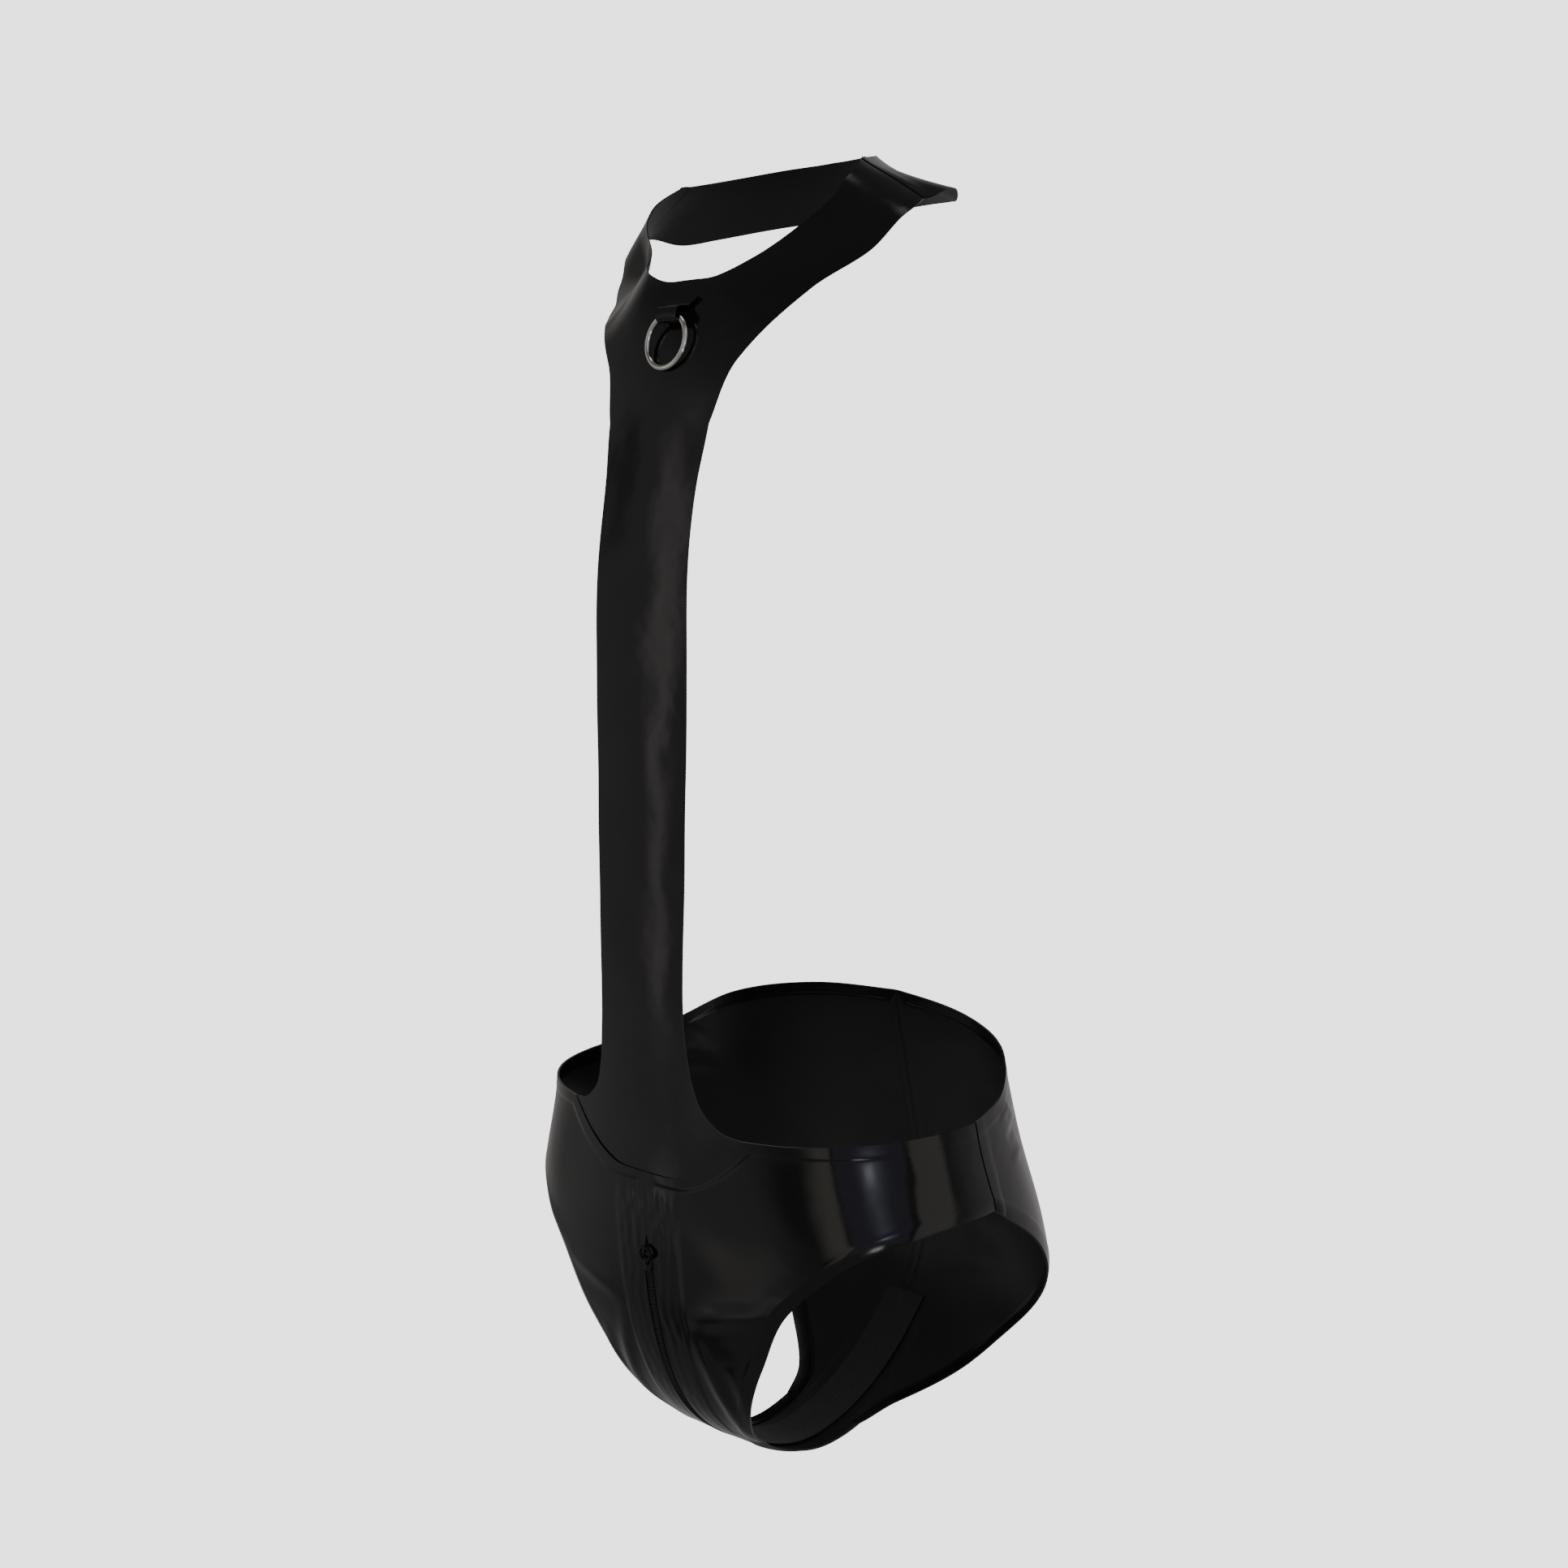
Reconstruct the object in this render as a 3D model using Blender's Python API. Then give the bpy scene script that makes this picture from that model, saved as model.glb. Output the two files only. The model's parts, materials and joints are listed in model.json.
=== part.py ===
"""Latex wrestling singlet: a brief with a through zip, held up by one narrow front panel
whose two arms close round the neck. The cloth keeps its worn, hollow form on a general figure.

The figure is one smooth surface. A point on it has an angle and a tape length.
The angle is 0 at the centre front, 90 at the wearer's left and -90 at the wearer's right.
The tape runs up the centre front from the lowest point between the legs.
A negative tape runs up the centre back instead, with its angle counted from the centre back.
Every panel is a patch of that surface between two of its cut edges.
The origin is the middle of the neck opening, Z is up and the front faces -Y.
"""
import math

import bmesh
import bpy
import numpy as np

# Cloth, in metres
WALL = 0.0011
GAP = 0.0003
TRIM_WALL = 0.0010
TRIM_WIDTH = 0.0085
NECK_HEIGHT = 0.6550

# A quad's corners turned over, with the same diagonal
FLIPPED = [0, 3, 2, 1]

# Level sections of the figure, heights from the lowest point between the legs
SECTION_COLUMNS = ("tape", "height", "half_width", "centre_y", "front", "back", "squareness", "tilt")
SECTIONS = (
    (0.000, 0.0000, 0.1495, 0.0040, 0.0000, 0.0000, 0.00, -0.031),
    (0.030, 0.0068, 0.1495, 0.0040, 0.0300, 0.0300, 0.00, -0.034),
    (0.060, 0.0225, 0.1510, 0.0040, 0.0575, 0.0580, 0.00, -0.035),
    (0.090, 0.0462, 0.1525, 0.0040, 0.0770, 0.0830, 0.00, -0.031),
    (0.125, 0.0810, 0.1530, 0.0040, 0.0895, 0.1040, 0.02, -0.030),
    (0.175, 0.1300, 0.1435, 0.0025, 0.0950, 0.1030, 0.03, -0.021),
    (0.225, 0.1797, 0.1280, 0.0010, 0.0945, 0.0940, 0.03, -0.020),
    (0.285, 0.2395, 0.1210, -0.0010, 0.0970, 0.0850, 0.03, -0.015),
    (0.355, 0.3100, 0.1270, -0.0010, 0.0980, 0.0920, 0.03, -0.0125),
    (0.435, 0.3900, 0.1400, 0.0000, 0.0990, 0.1045, 0.03, -0.011),
    (0.505, 0.4600, 0.1560, 0.0000, 0.0985, 0.1155, 0.03, -0.009),
    (0.555, 0.5100, 0.1680, -0.0005, 0.0910, 0.1175, 0.02, 0.003),
    (0.600, 0.5545, 0.1680, -0.0035, 0.0795, 0.1140, 0.00, 0.017),
    (0.640, 0.5935, 0.1560, -0.0060, 0.0640, 0.1020, 0.00, 0.042),
    (0.670, 0.6205, 0.1235, -0.0075, 0.0480, 0.0785, 0.00, 0.066),
    (0.695, 0.6415, 0.0850, -0.0105, 0.0390, 0.0580, 0.00, 0.064),
    (0.720, 0.6600, 0.0550, -0.0150, 0.0345, 0.0465, 0.00, 0.056),
    (0.750, 0.6880, 0.0430, -0.0200, 0.0320, 0.0430, 0.00, 0.052),
)
# The columns that change sign where the front passes under into the back
ODD_COLUMNS = ("front", "back")
# Where the figure falls back beside the neck on the wearer's right
RECESS_DEPTH = 0.029
RECESS_TAPE = 0.657
RECESS_SPREAD = 0.028
RECESS_START = 0.032
RECESS_END = 0.085

# Cut edges of the garment's left half. Columns: angle in degrees, tape in metres
LEG_EDGE_FRONT = ((10.6, -0.030), (10.4, 0.000), (10.8, 0.030), (13.2, 0.056), (17.2, 0.0780), (23.6, 0.1125),
                  (31.8, 0.1473), (49.7, 0.1765), (72.0, 0.1895), (96.4, 0.1945))
LEG_EDGE_BACK = ((10.6, -0.030), (14.0, -0.050), (24.5, -0.0790), (41.0, -0.1265), (62.5, -0.1680),
                 (83.6, -0.1945))
V_SEAM = ((0.0, 0.2045), (8.0, 0.2050), (13.0, 0.2095), (18.0, 0.2165), (22.0, 0.2235), (26.0, 0.2310))
WAIST_FRONT = ((26.0, 0.2310), (37.0, 0.2313), (60.0, 0.2335), (78.0, 0.2353), (95.0, 0.2375))
WAIST_BACK = ((0.0, -0.2740), (25.0, -0.2700), (51.0, -0.2600), (70.0, -0.2450), (85.0, -0.2375))
FILLET = ((26.0, 0.2310), (20.6, 0.2335), (16.0, 0.2430), (13.9, 0.2580))

# The front strap. Columns: height up the centre front, half width
STRAP = ((0.240, 0.0300), (0.310, 0.0312), (0.390, 0.0327), (0.460, 0.0325), (0.500, 0.0327), (0.530, 0.0355))
# Outer edge of the arms and the yoke, and the neck edge. Columns: angle in degrees, height
ARM_OUTER = ((16.2, 0.560), (30.0, 0.5898), (45.0, 0.6049), (60.0, 0.6195), (80.0, 0.6290))
YOKE_OUTER = ((80.0, 0.6290), (100.0, 0.6290), (125.0, 0.6330), (150.0, 0.6360), (180.0, 0.6370))
ARM_NECK = ((0.0, 0.5998), (7.0, 0.6003), (16.0, 0.6075), (30.0, 0.6215), (45.0, 0.6336), (60.0, 0.6432),
            (88.0, 0.6535))
YOKE_NECK = ((88.0, 0.6535), (120.0, 0.6580), (150.0, 0.6615), (180.0, 0.6625))
# The cloth stands off at the back of each shoulder
LIFT_HEIGHT = 0.0065
LIFT_ANGLE = 97.0
LIFT_SPREAD = 9.0

# Where the V's flare ends on the centre line, and where the neck's own shape begins
FLARE_TAPE = 0.262
CHEST_HEIGHT = 0.545
# Rows over which the V seam's bow fades out above it
BOW_ROWS = 6
BOW_POWER = 1.5

# Rows and columns of quads on each panel
FLARE_ROWS = 6
STRAP_ROWS = 22
CHEST_ROWS = 6
NECK_ROWS = 12
YOKE_ROWS = 12
WAIST_ROWS = 13
HALF_COLUMNS = 6
BRIEF_COLUMNS = 8
# The most of a row that the column beside an edge may take
EDGE_SHARE = 0.32

# Zip: half the slit in degrees, and where it lies along the tape
SLIT = 1.1
CLOSED = 0.1
SLIT_CLOSES = 0.172
COIL_TOP = 0.1590
COIL_HALF = 0.0026
COIL_HEIGHT = 0.0011
# Where the two tapes meet, in degrees, and how they part above the slider
MEETING = 0.06
PARTED = 0.55
# Rows of quads along the zip on the front and the back
ZIP_ROWS_FRONT = 23
ZIP_ROWS_BACK = 8
ZIP_TAPE_WALL = 0.0010
ZIP_END_BACK = -0.088
CROTCH_SEAM = -0.030
SEAM_TAPE = 0.0002
SEAM_ANGLE = 0.08
SLIDER_TAPE = 0.1575
SLIDER_LENGTH = 0.0105
SLIDER_WIDTH = 0.0076
SLIDER_PLATE = 0.0011
UNDER_PLATE_SHARE = 0.8
POST_WIDTH = 0.0016
POST_LENGTH = 0.0018
PULL_TAPE = 0.1590
PULL_WIDTH = 0.0076
PULL_LENGTH = 0.0080
PULL_WIRE = 0.0006
BAIL_HOLE = 0.0010
BAIL_OUTER = 0.0018
BAIL_HALF = 0.0008
# How far back the pull leans for each unit that it rises
PULL_LEAN = 0.06

# Steel ring and the tab that holds it
RING_RADIUS = 0.0134
RING_WIRE = 0.0014
RING_TAPE = 0.6265
TAB_HALF = 0.0068
TAB_BORE = 0.0029
TAB_WALL = 0.0010
TAB_REACH = 0.0090
# Sine of the turn at which the tab leaves its round, and how much of its depth it then loses
TAB_SHOULDER = 0.25
TAB_TAPER = 0.62


def clear_scene():
    """Remove every object of the open file."""
    for item in list(bpy.data.objects):
        bpy.data.objects.remove(item, do_unlink=True)


def make_material(name, colour, roughness, metallic=0.0):
    """A plain Principled material."""
    material = bpy.data.materials.new(name)
    material.use_nodes = True
    shader = material.node_tree.nodes["Principled BSDF"]
    shader.inputs["Base Color"].default_value = (*colour, 1.0)
    shader.inputs["Roughness"].default_value = roughness
    shader.inputs["Metallic"].default_value = metallic
    return material


def smooth_curve(knots, values, at):
    """Cubic Hermite curve through the values, with slopes read across each knot."""
    slope = np.empty_like(values)
    slope[1:-1] = (values[2:] - values[:-2]) / (knots[2:] - knots[:-2])
    slope[0] = (values[1] - values[0]) / (knots[1] - knots[0])
    slope[-1] = (values[-1] - values[-2]) / (knots[-1] - knots[-2])
    left = np.clip(np.searchsorted(knots, at, side="right") - 1, 0, len(knots) - 2)
    span = knots[left + 1] - knots[left]
    t = np.clip((at - knots[left]) / span, 0.0, 1.0)
    start = (2 * t**3 - 3 * t**2 + 1) * values[left] + (t**3 - 2 * t**2 + t) * span * slope[left]
    end = (3 * t**2 - 2 * t**3) * values[left + 1] + (t**3 - t**2) * span * slope[left + 1]
    return start + end


def section_value(column, tape):
    """One column of the section table, mirrored through the lowest point."""
    rows = np.array(SECTIONS)
    sign = -1.0 if column in ODD_COLUMNS else 1.0
    values = rows[:, SECTION_COLUMNS.index(column)]
    knots = np.concatenate([-rows[2:0:-1, 0], rows[:, 0]])
    return smooth_curve(knots, np.concatenate([sign * values[2:0:-1], values]), tape)


def recess(turn, reach, x):
    """How far the figure falls back beside the neck on the wearer's right: a smooth rise across, a bell upwards."""
    rise = np.clip((-x - RECESS_START) / (RECESS_END - RECESS_START), 0.0, 1.0)
    across_rise = rise**2 * (3 - 2 * rise) * (1 + np.cos(turn)) / 2
    return RECESS_DEPTH * across_rise * np.exp(-(((reach - RECESS_TAPE) / RECESS_SPREAD) ** 2))


def figure(angle, tape):
    """Point on the figure: a squared ellipse at each tape length, tilted sideways by a few degrees."""
    angle, tape = np.broadcast_arrays(np.asarray(angle, float), np.asarray(tape, float))
    side = np.where(angle < 0, -1.0, 1.0)
    turn = np.radians(np.where(tape < 0, side * 180.0 - angle, angle))
    reach = np.abs(tape)
    half, square = section_value("half_width", reach), section_value("squareness", reach)
    depth = np.where(np.cos(turn) > 0, section_value("front", reach), section_value("back", reach))
    x = half * (np.sin(turn) + square * np.sin(3 * turn)) / (1 - square)
    y = section_value("centre_y", reach) - depth * (np.cos(turn) - square * np.cos(3 * turn)) / (1 - square)
    y = y + recess(turn, reach, x)
    z = section_value("height", reach) + section_value("tilt", reach) * x - NECK_HEIGHT
    return np.stack([x, y, z], axis=-1)


def outward(angle, tape):
    """Unit normal of the figure, from its two tangents."""
    step_angle, step_tape = 0.4, 0.0004
    sideways = figure(angle + step_angle, tape) - figure(angle - step_angle, tape)
    up = figure(angle, tape + step_tape) - figure(angle, tape - step_tape)
    normal = np.cross(sideways, up)
    return normal / np.linalg.norm(normal, axis=-1, keepdims=True)


def tape_at(height):
    """Tape length up the centre front at a height."""
    tape = np.linspace(0.0, 0.75, 1501)
    return np.interp(height, section_value("height", tape), tape)


def distance_along(points):
    """Running length of a line of points, from 0 to 1."""
    steps = np.linalg.norm(np.diff(points, axis=0), axis=1)
    length = np.concatenate([[0.0], np.cumsum(steps)])
    return length / length[-1]


def edge(table, share):
    """Angle and tape at a share of the length of one smooth cut edge."""
    rows = np.array(table)
    knots = distance_along(figure(rows[:, 0], rows[:, 1]))
    fine = np.linspace(0.0, 1.0, 241)
    angle, tape = smooth_curve(knots, rows[:, 0], fine), smooth_curve(knots, rows[:, 1], fine)
    run = distance_along(figure(angle, tape))
    return np.stack([np.interp(share, run, angle), np.interp(share, run, tape)], axis=-1)


def by_height(table):
    """The same edge with each height turned into tape."""
    return [(angle, float(tape_at(height))) for angle, height in table]


def joined(tables, counts):
    """Sample several edges end to end, with a row on each corner, and give their lengths' shares."""
    parts = [edge(table, np.linspace(0.0, 1.0, count + 1)) for table, count in zip(tables, counts)]
    line = np.concatenate([parts[0]] + [part[1:] for part in parts[1:]])
    return line, distance_along(figure(line[:, 0], line[:, 1]))


def across(start, end, columns, near, far):
    """Rows between two edges: a narrow first and last column, the others even."""
    width = np.linalg.norm(figure(*end.T) - figure(*start.T), axis=1)
    first = np.minimum(near / width, EDGE_SHARE)[:, None]
    last = 1.0 - np.minimum(far / width, EDGE_SHARE)[:, None]
    inner = np.linspace(0.0, 1.0, columns - 1)[None, :]
    share = np.concatenate([0 * first, first + (last - first) * inner, 0 * last + 1.0], axis=1)
    return start[:, None, :] + (end - start)[:, None, :] * share[..., None]


def strap_angle(half_width, tape):
    """Angle at which the figure is a given distance from its middle."""
    half, square = section_value("half_width", tape), section_value("squareness", tape)
    turn = np.arcsin(half_width / half)
    for _ in range(6):
        turn = np.arcsin(half_width * (1 - square) / half - square * np.sin(3 * turn))
    return np.degrees(turn)


def shoulder_lift(angle, share):
    """How far the outer edge stands off at the back of the shoulder."""
    return LIFT_HEIGHT * np.exp(-(((angle - LIFT_ANGLE) / LIFT_SPREAD) ** 2)) * np.clip(share, 0, 1) ** 2


def front_half():
    """Left half of the front panel, from the V seam up the strap and round to the shoulder seam."""
    heights = np.array(STRAP)
    tapes = tape_at(heights[:, 0])
    strap = list(zip(strap_angle(heights[:, 1], tapes), tapes))
    outer_tables = (FILLET, [FILLET[-1]] + strap, [strap[-1]] + by_height(ARM_OUTER))
    chest, neck = float(tape_at(CHEST_HEIGHT)), float(tape_at(ARM_NECK[0][1]))
    inner_tables = (((0.0, V_SEAM[0][1]), (0.0, FLARE_TAPE)), ((0.0, FLARE_TAPE), (0.0, chest)),
                    ((0.0, chest), (0.0, neck)), by_height(ARM_NECK))
    outer, _ = joined(outer_tables, (FLARE_ROWS, STRAP_ROWS, CHEST_ROWS + NECK_ROWS))
    inner, _ = joined(inner_tables, (FLARE_ROWS, STRAP_ROWS, CHEST_ROWS, NECK_ROWS))
    share = np.linspace(0.0, 1.0, HALF_COLUMNS + 1)
    grid = inner[:, None, :] + (outer - inner)[:, None, :] * share[None, :, None]
    seam = edge(V_SEAM, np.linspace(0, 1, 121))
    bow = np.interp(grid[0, :, 0], seam[:, 0], seam[:, 1]) - grid[0, :, 1]
    fade = np.clip(1.0 - np.arange(len(grid)) / BOW_ROWS, 0.0, 1.0) ** BOW_POWER
    grid[..., 1] += fade[:, None] * bow[None, :]
    grid[0, :, 1] += SEAM_TAPE
    grid[-1, :, 0] -= SEAM_ANGLE
    return grid, shoulder_lift(grid[..., 0], share[None, :] + 0 * grid[..., 0])


def yoke_grid():
    """The back yoke, from the left shoulder seam round the back of the neck to the right one."""
    inner = edge(by_height(YOKE_NECK), np.linspace(0, 1, YOKE_ROWS + 1))
    outer = edge(by_height(YOKE_OUTER), np.linspace(0, 1, YOKE_ROWS + 1))
    share = np.linspace(0.0, 1.0, HALF_COLUMNS + 1)
    half = inner[:, None, :] + (outer - inner)[:, None, :] * share[None, :, None]
    half[0, :, 0] += SEAM_ANGLE
    mirrored = half[-2::-1].copy()
    mirrored[..., 0] = 360.0 - mirrored[..., 0]
    grid = np.concatenate([half, mirrored])
    nearest = np.minimum(grid[..., 0], 360.0 - grid[..., 0])
    return grid, shoulder_lift(nearest, share[None, :] + 0 * nearest)


def brief_front():
    """Left front of the brief: rows from the leg edge to the zip, the V seam and the waist."""
    v_seam = [(angle, tape - SEAM_TAPE) for angle, tape in V_SEAM]
    v_seam[0] = (CLOSED, v_seam[0][1])
    tops = (((SLIT, CROTCH_SEAM + SEAM_TAPE), (SLIT, 0.0)), ((SLIT, 0.0), (SLIT, 0.09)),
            ((SLIT, 0.09), (SLIT, COIL_TOP + 0.001)), ((SLIT, COIL_TOP + 0.001), (CLOSED, SLIT_CLOSES)),
            ((CLOSED, SLIT_CLOSES), v_seam[0]), v_seam, WAIST_FRONT)
    top, share = joined(tops, (4, 10, 5, 2, 2, 6, WAIST_ROWS))
    leg = edge(LEG_EDGE_FRONT, share)
    leg[0, 1] += SEAM_TAPE
    grid = across(leg, top, BRIEF_COLUMNS + 1, TRIM_WIDTH, TRIM_WIDTH)
    grid[-1, :, 0] -= SEAM_ANGLE
    return grid


def brief_back():
    """Left back of the brief, its rows counted on from the side seam down to the crotch."""
    tops = (((SLIT, CROTCH_SEAM - SEAM_TAPE), (SLIT, ZIP_END_BACK)),
            ((SLIT, ZIP_END_BACK), (CLOSED, ZIP_END_BACK - 0.010)),
            ((CLOSED, ZIP_END_BACK - 0.010), (CLOSED, WAIST_BACK[0][1])),
            ((CLOSED, WAIST_BACK[0][1]),) + WAIST_BACK[1:])
    top, share = joined(tops, (8, 1, 12, WAIST_ROWS))
    leg = edge(LEG_EDGE_BACK, share)
    leg[0, 1] -= SEAM_TAPE
    grid = across(leg, top, BRIEF_COLUMNS + 1, TRIM_WIDTH, TRIM_WIDTH)
    grid[-1, :, 0] -= SEAM_ANGLE
    return grid[::-1]


def mirror(grid):
    """The same patch on the wearer's right."""
    other = grid.copy()
    other[..., 0] = -other[..., 0]
    return other


def grid_faces(rows, columns, closed=False):
    """Quads of a grid, which closes on itself where its last row meets its first."""
    index = np.arange(rows * columns).reshape(rows, columns)
    if closed:
        index = np.concatenate([index, index[:1]])
    quads = np.stack([index[:-1, :-1], index[:-1, 1:], index[1:, 1:], index[1:, :-1]], axis=-1)
    return quads.reshape(-1, 4)


def signed_volume(points, faces):
    """Volume inside a closed mesh, positive where its faces point out."""
    corners = points[faces]
    first = np.einsum("ij,ij->i", corners[:, 0], np.cross(corners[:, 1], corners[:, 2]))
    second = np.einsum("ij,ij->i", corners[:, 0], np.cross(corners[:, 2], corners[:, 3]))
    return (first + second).sum()


def wall(name, inner, outer, faces, material):
    """A closed solid between two skins that share one set of quads."""
    count = len(inner)
    directed = np.concatenate([faces[:, [k, (k + 1) % 4]] for k in range(4)])
    key = directed[:, 0] * count + directed[:, 1]
    reverse = directed[:, 1] * count + directed[:, 0]
    rim = directed[~np.isin(key, reverse)]
    sides = np.stack([rim[:, 1], rim[:, 0], rim[:, 0] + count, rim[:, 1] + count], axis=-1)
    everything = np.concatenate([faces, faces[:, FLIPPED] + count, sides])
    points = np.concatenate([outer, inner])
    if signed_volume(points, everything) < 0:
        everything = everything[:, FLIPPED]
    return mesh_object(name, points, everything, material)


def mesh_object(name, points, faces, material):
    """A smooth-shaded object from points and faces."""
    mesh = bpy.data.meshes.new(name)
    mesh.from_pydata(points.tolist(), [], faces.tolist())
    mesh.shade_smooth()
    mesh.set_sharp_from_angle(angle=math.radians(35))
    mesh.materials.append(material)
    item = bpy.data.objects.new(name, mesh)
    bpy.context.scene.collection.objects.link(item)
    return item


def skin(grid, offset, lift=0.0):
    """Points of a patch moved out from the figure."""
    angle, tape = grid[..., 0], grid[..., 1]
    return (figure(angle, tape) + outward(angle, tape) * (offset + np.asarray(lift))[..., None]).reshape(-1, 3)


def patch(name, grid, low, high, material, lift=None, closed=False):
    """One panel or strip, from the grid of its angles and tapes and its two offsets."""
    lift = np.zeros(grid.shape[:2]) if lift is None else lift
    faces = grid_faces(*grid.shape[:2], closed)
    return wall(name, skin(grid, low + lift), skin(grid, high + lift), faces, material)


def make_front_panel(material):
    """The whole front panel: both halves share the line up the centre front."""
    left, lift = front_half()
    rows, columns = left.shape[:2]
    grid = np.concatenate([left.reshape(-1, 2), mirror(left).reshape(-1, 2)])
    lift = np.concatenate([lift.ravel(), lift.ravel()])
    faces = grid_faces(rows, columns)
    faces = np.concatenate([faces, faces[:, FLIPPED] + rows * columns])
    shared = rows * columns + np.nonzero(left[:, 0, 0] == 0.0)[0] * columns
    target = np.arange(len(grid))
    target[shared] = shared - rows * columns
    kept = np.unique(target)
    faces = np.searchsorted(kept, target[faces])
    grid, lift = grid[kept], lift[kept]
    return wall("front_panel", skin(grid, lift), skin(grid, WALL + lift), faces, material)


def make_brief(latex):
    """Four panels of the brief, with the trims inside their leg and waist edges."""
    front, back = brief_front(), brief_back()
    for side, turned in (("left", lambda grid: grid), ("right", mirror)):
        patch(f"brief_front_{side}", turned(front), 0.0, WALL, latex)
        patch(f"brief_back_{side}", turned(back), 0.0, WALL, latex)
        leg = np.concatenate([front[:, :2], back[:, :2]])
        patch(f"leg_trim_{side}", turned(leg), -GAP - TRIM_WALL, -GAP, latex, closed=True)
        waist = np.concatenate([front[-WAIST_ROWS - 1:, -2:], back[:WAIST_ROWS + 1, -2:]])
        patch(f"waist_trim_{side}", turned(waist), -GAP - TRIM_WALL, -GAP, latex)
    return front, back


def zip_edge(front, back):
    """Rows of both panels along the zip, from its back end under and up to the V seam."""
    return np.concatenate([back[-ZIP_ROWS_BACK - 1:], front[:ZIP_ROWS_FRONT + 1]])


def make_zip(front, back, coil_black, tape_black):
    """Two tapes inside the panels, on the panels' own points, and the closed coil in the slit."""
    rows = zip_edge(front, back)
    edge_angle, tapes = rows[:, -1, 0], rows[:, -1, 1]
    inner = np.where(tapes > COIL_TOP, PARTED * edge_angle, MEETING)
    middle = np.stack([inner, tapes], axis=-1)
    grid = np.stack([rows[:, -2], rows[:, -1], middle], axis=1)
    patch("zip_tape_left", grid, -GAP - ZIP_TAPE_WALL, -GAP, tape_black)
    patch("zip_tape_right", mirror(grid), -GAP - ZIP_TAPE_WALL, -GAP, tape_black)
    closed = np.append(tapes[tapes < COIL_TOP - 0.002], COIL_TOP)
    closed[0] += SEAM_TAPE
    half = np.degrees(np.arcsin(COIL_HALF / section_value("half_width", np.abs(closed))))
    coil = np.stack([np.stack([-half, closed], -1), np.stack([half, closed], -1)], axis=1)
    patch("zip_coil", coil, 0.0, COIL_HEIGHT, coil_black)


def local_frame(tape, height):
    """Point above the centre front with its out and up directions."""
    out = outward(0.0, tape)
    up = figure(0.0, tape + 0.0005) - figure(0.0, tape - 0.0005)
    up = up / np.linalg.norm(up)
    return figure(0.0, tape) + out * height, out, up


def placed(outline, half, origin, out, up, name, material):
    """Extrude an outline of out and up distances sideways by a half width."""
    bm = bmesh.new()
    corners = [bm.verts.new((-half, *(origin + out * a + up * b)[1:])) for a, b in outline]
    face = bm.faces.new(corners)
    moved = bmesh.ops.extrude_face_region(bm, geom=[face])["geom"]
    ends = [item for item in moved if isinstance(item, bmesh.types.BMVert)]
    bmesh.ops.translate(bm, vec=(2 * half, 0, 0), verts=ends)
    bmesh.ops.recalc_face_normals(bm, faces=bm.faces)
    mesh = bpy.data.meshes.new(name)
    bm.to_mesh(mesh)
    bm.free()
    mesh.materials.append(material)
    item = bpy.data.objects.new(name, mesh)
    bpy.context.scene.collection.objects.link(item)
    return item


def box_outline(low, high, bottom, top):
    """Corners of a rectangle of out and up distances."""
    return [(low, bottom), (high, bottom), (high, top), (low, top)]


def hollow_outline(centre, outer, bore, steps=20):
    """Outer and inner circles of a round eye, as out and up distances."""
    turn = np.linspace(0.0, 2 * math.pi, steps, endpoint=False)
    ring = np.stack([np.cos(turn), np.sin(turn)], axis=-1)
    return centre + ring * outer, centre + ring * bore


def eye(name, outer, inner, half, origin, out, up, material):
    """A closed tube from an outer and an inner outline of equal counts, extruded sideways."""
    count = len(outer)
    flat = np.concatenate([outer, inner])
    base = origin + flat[:, :1] * out + flat[:, 1:] * up
    side = np.array([half, 0.0, 0.0])
    points = np.concatenate([base - side, base + side])
    k = np.arange(count)
    n = (k + 1) % count
    quads = [np.stack([k, n, n + 2 * count, k + 2 * count], -1),
             np.stack([k + 3 * count, n + 3 * count, n + count, k + count], -1),
             np.stack([k + count, n + count, n, k], -1),
             np.stack([k + 2 * count, n + 2 * count, n + 3 * count, k + 3 * count], -1)]
    faces = np.concatenate(quads)
    if signed_volume(points, faces) < 0:
        faces = faces[:, FLIPPED]
    return mesh_object(name, points, faces, material)


def unite(base, others):
    """Join solids that overlap into one body."""
    for other in others:
        union = base.modifiers.new("union", "BOOLEAN")
        union.operation = "UNION"
        union.object = other
        other.hide_render = True
        other.display_type = "WIRE"


def make_slider(black):
    """Zip slider: an outer and an inner plate on one post, with an eye for the pull."""
    origin, out, up = local_frame(SLIDER_TAPE, 0.0)
    bottom, top = -SLIDER_LENGTH / 2, SLIDER_LENGTH / 2
    top_plate = WALL + GAP
    bottom_plate = -2 * GAP - ZIP_TAPE_WALL
    half = SLIDER_WIDTH / 2
    plate = placed(box_outline(top_plate, top_plate + SLIDER_PLATE, bottom, top), half, origin, out, up,
                   "zip_slider", black)
    under = placed(box_outline(bottom_plate - SLIDER_PLATE, bottom_plate, bottom, top),
                   half * UNDER_PLATE_SHARE, origin, out, up, "cutter_under", black)
    post = placed(box_outline(bottom_plate - SLIDER_PLATE / 2, top_plate + SLIDER_PLATE / 2,
                              top - POST_LENGTH, top - GAP), POST_WIDTH / 2,
                  origin, out, up, "cutter_post", black)
    centre = np.array([top_plate + SLIDER_PLATE + BAIL_HOLE + GAP / 3, PULL_TAPE - SLIDER_TAPE])
    outer, inner = hollow_outline(centre, BAIL_OUTER, BAIL_HOLE)
    bail = eye("cutter_bail", outer, inner, BAIL_HALF, origin, out, up, black)
    unite(plate, (under, post, bail))
    return origin + out * centre[0] + up * centre[1], out, up


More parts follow.
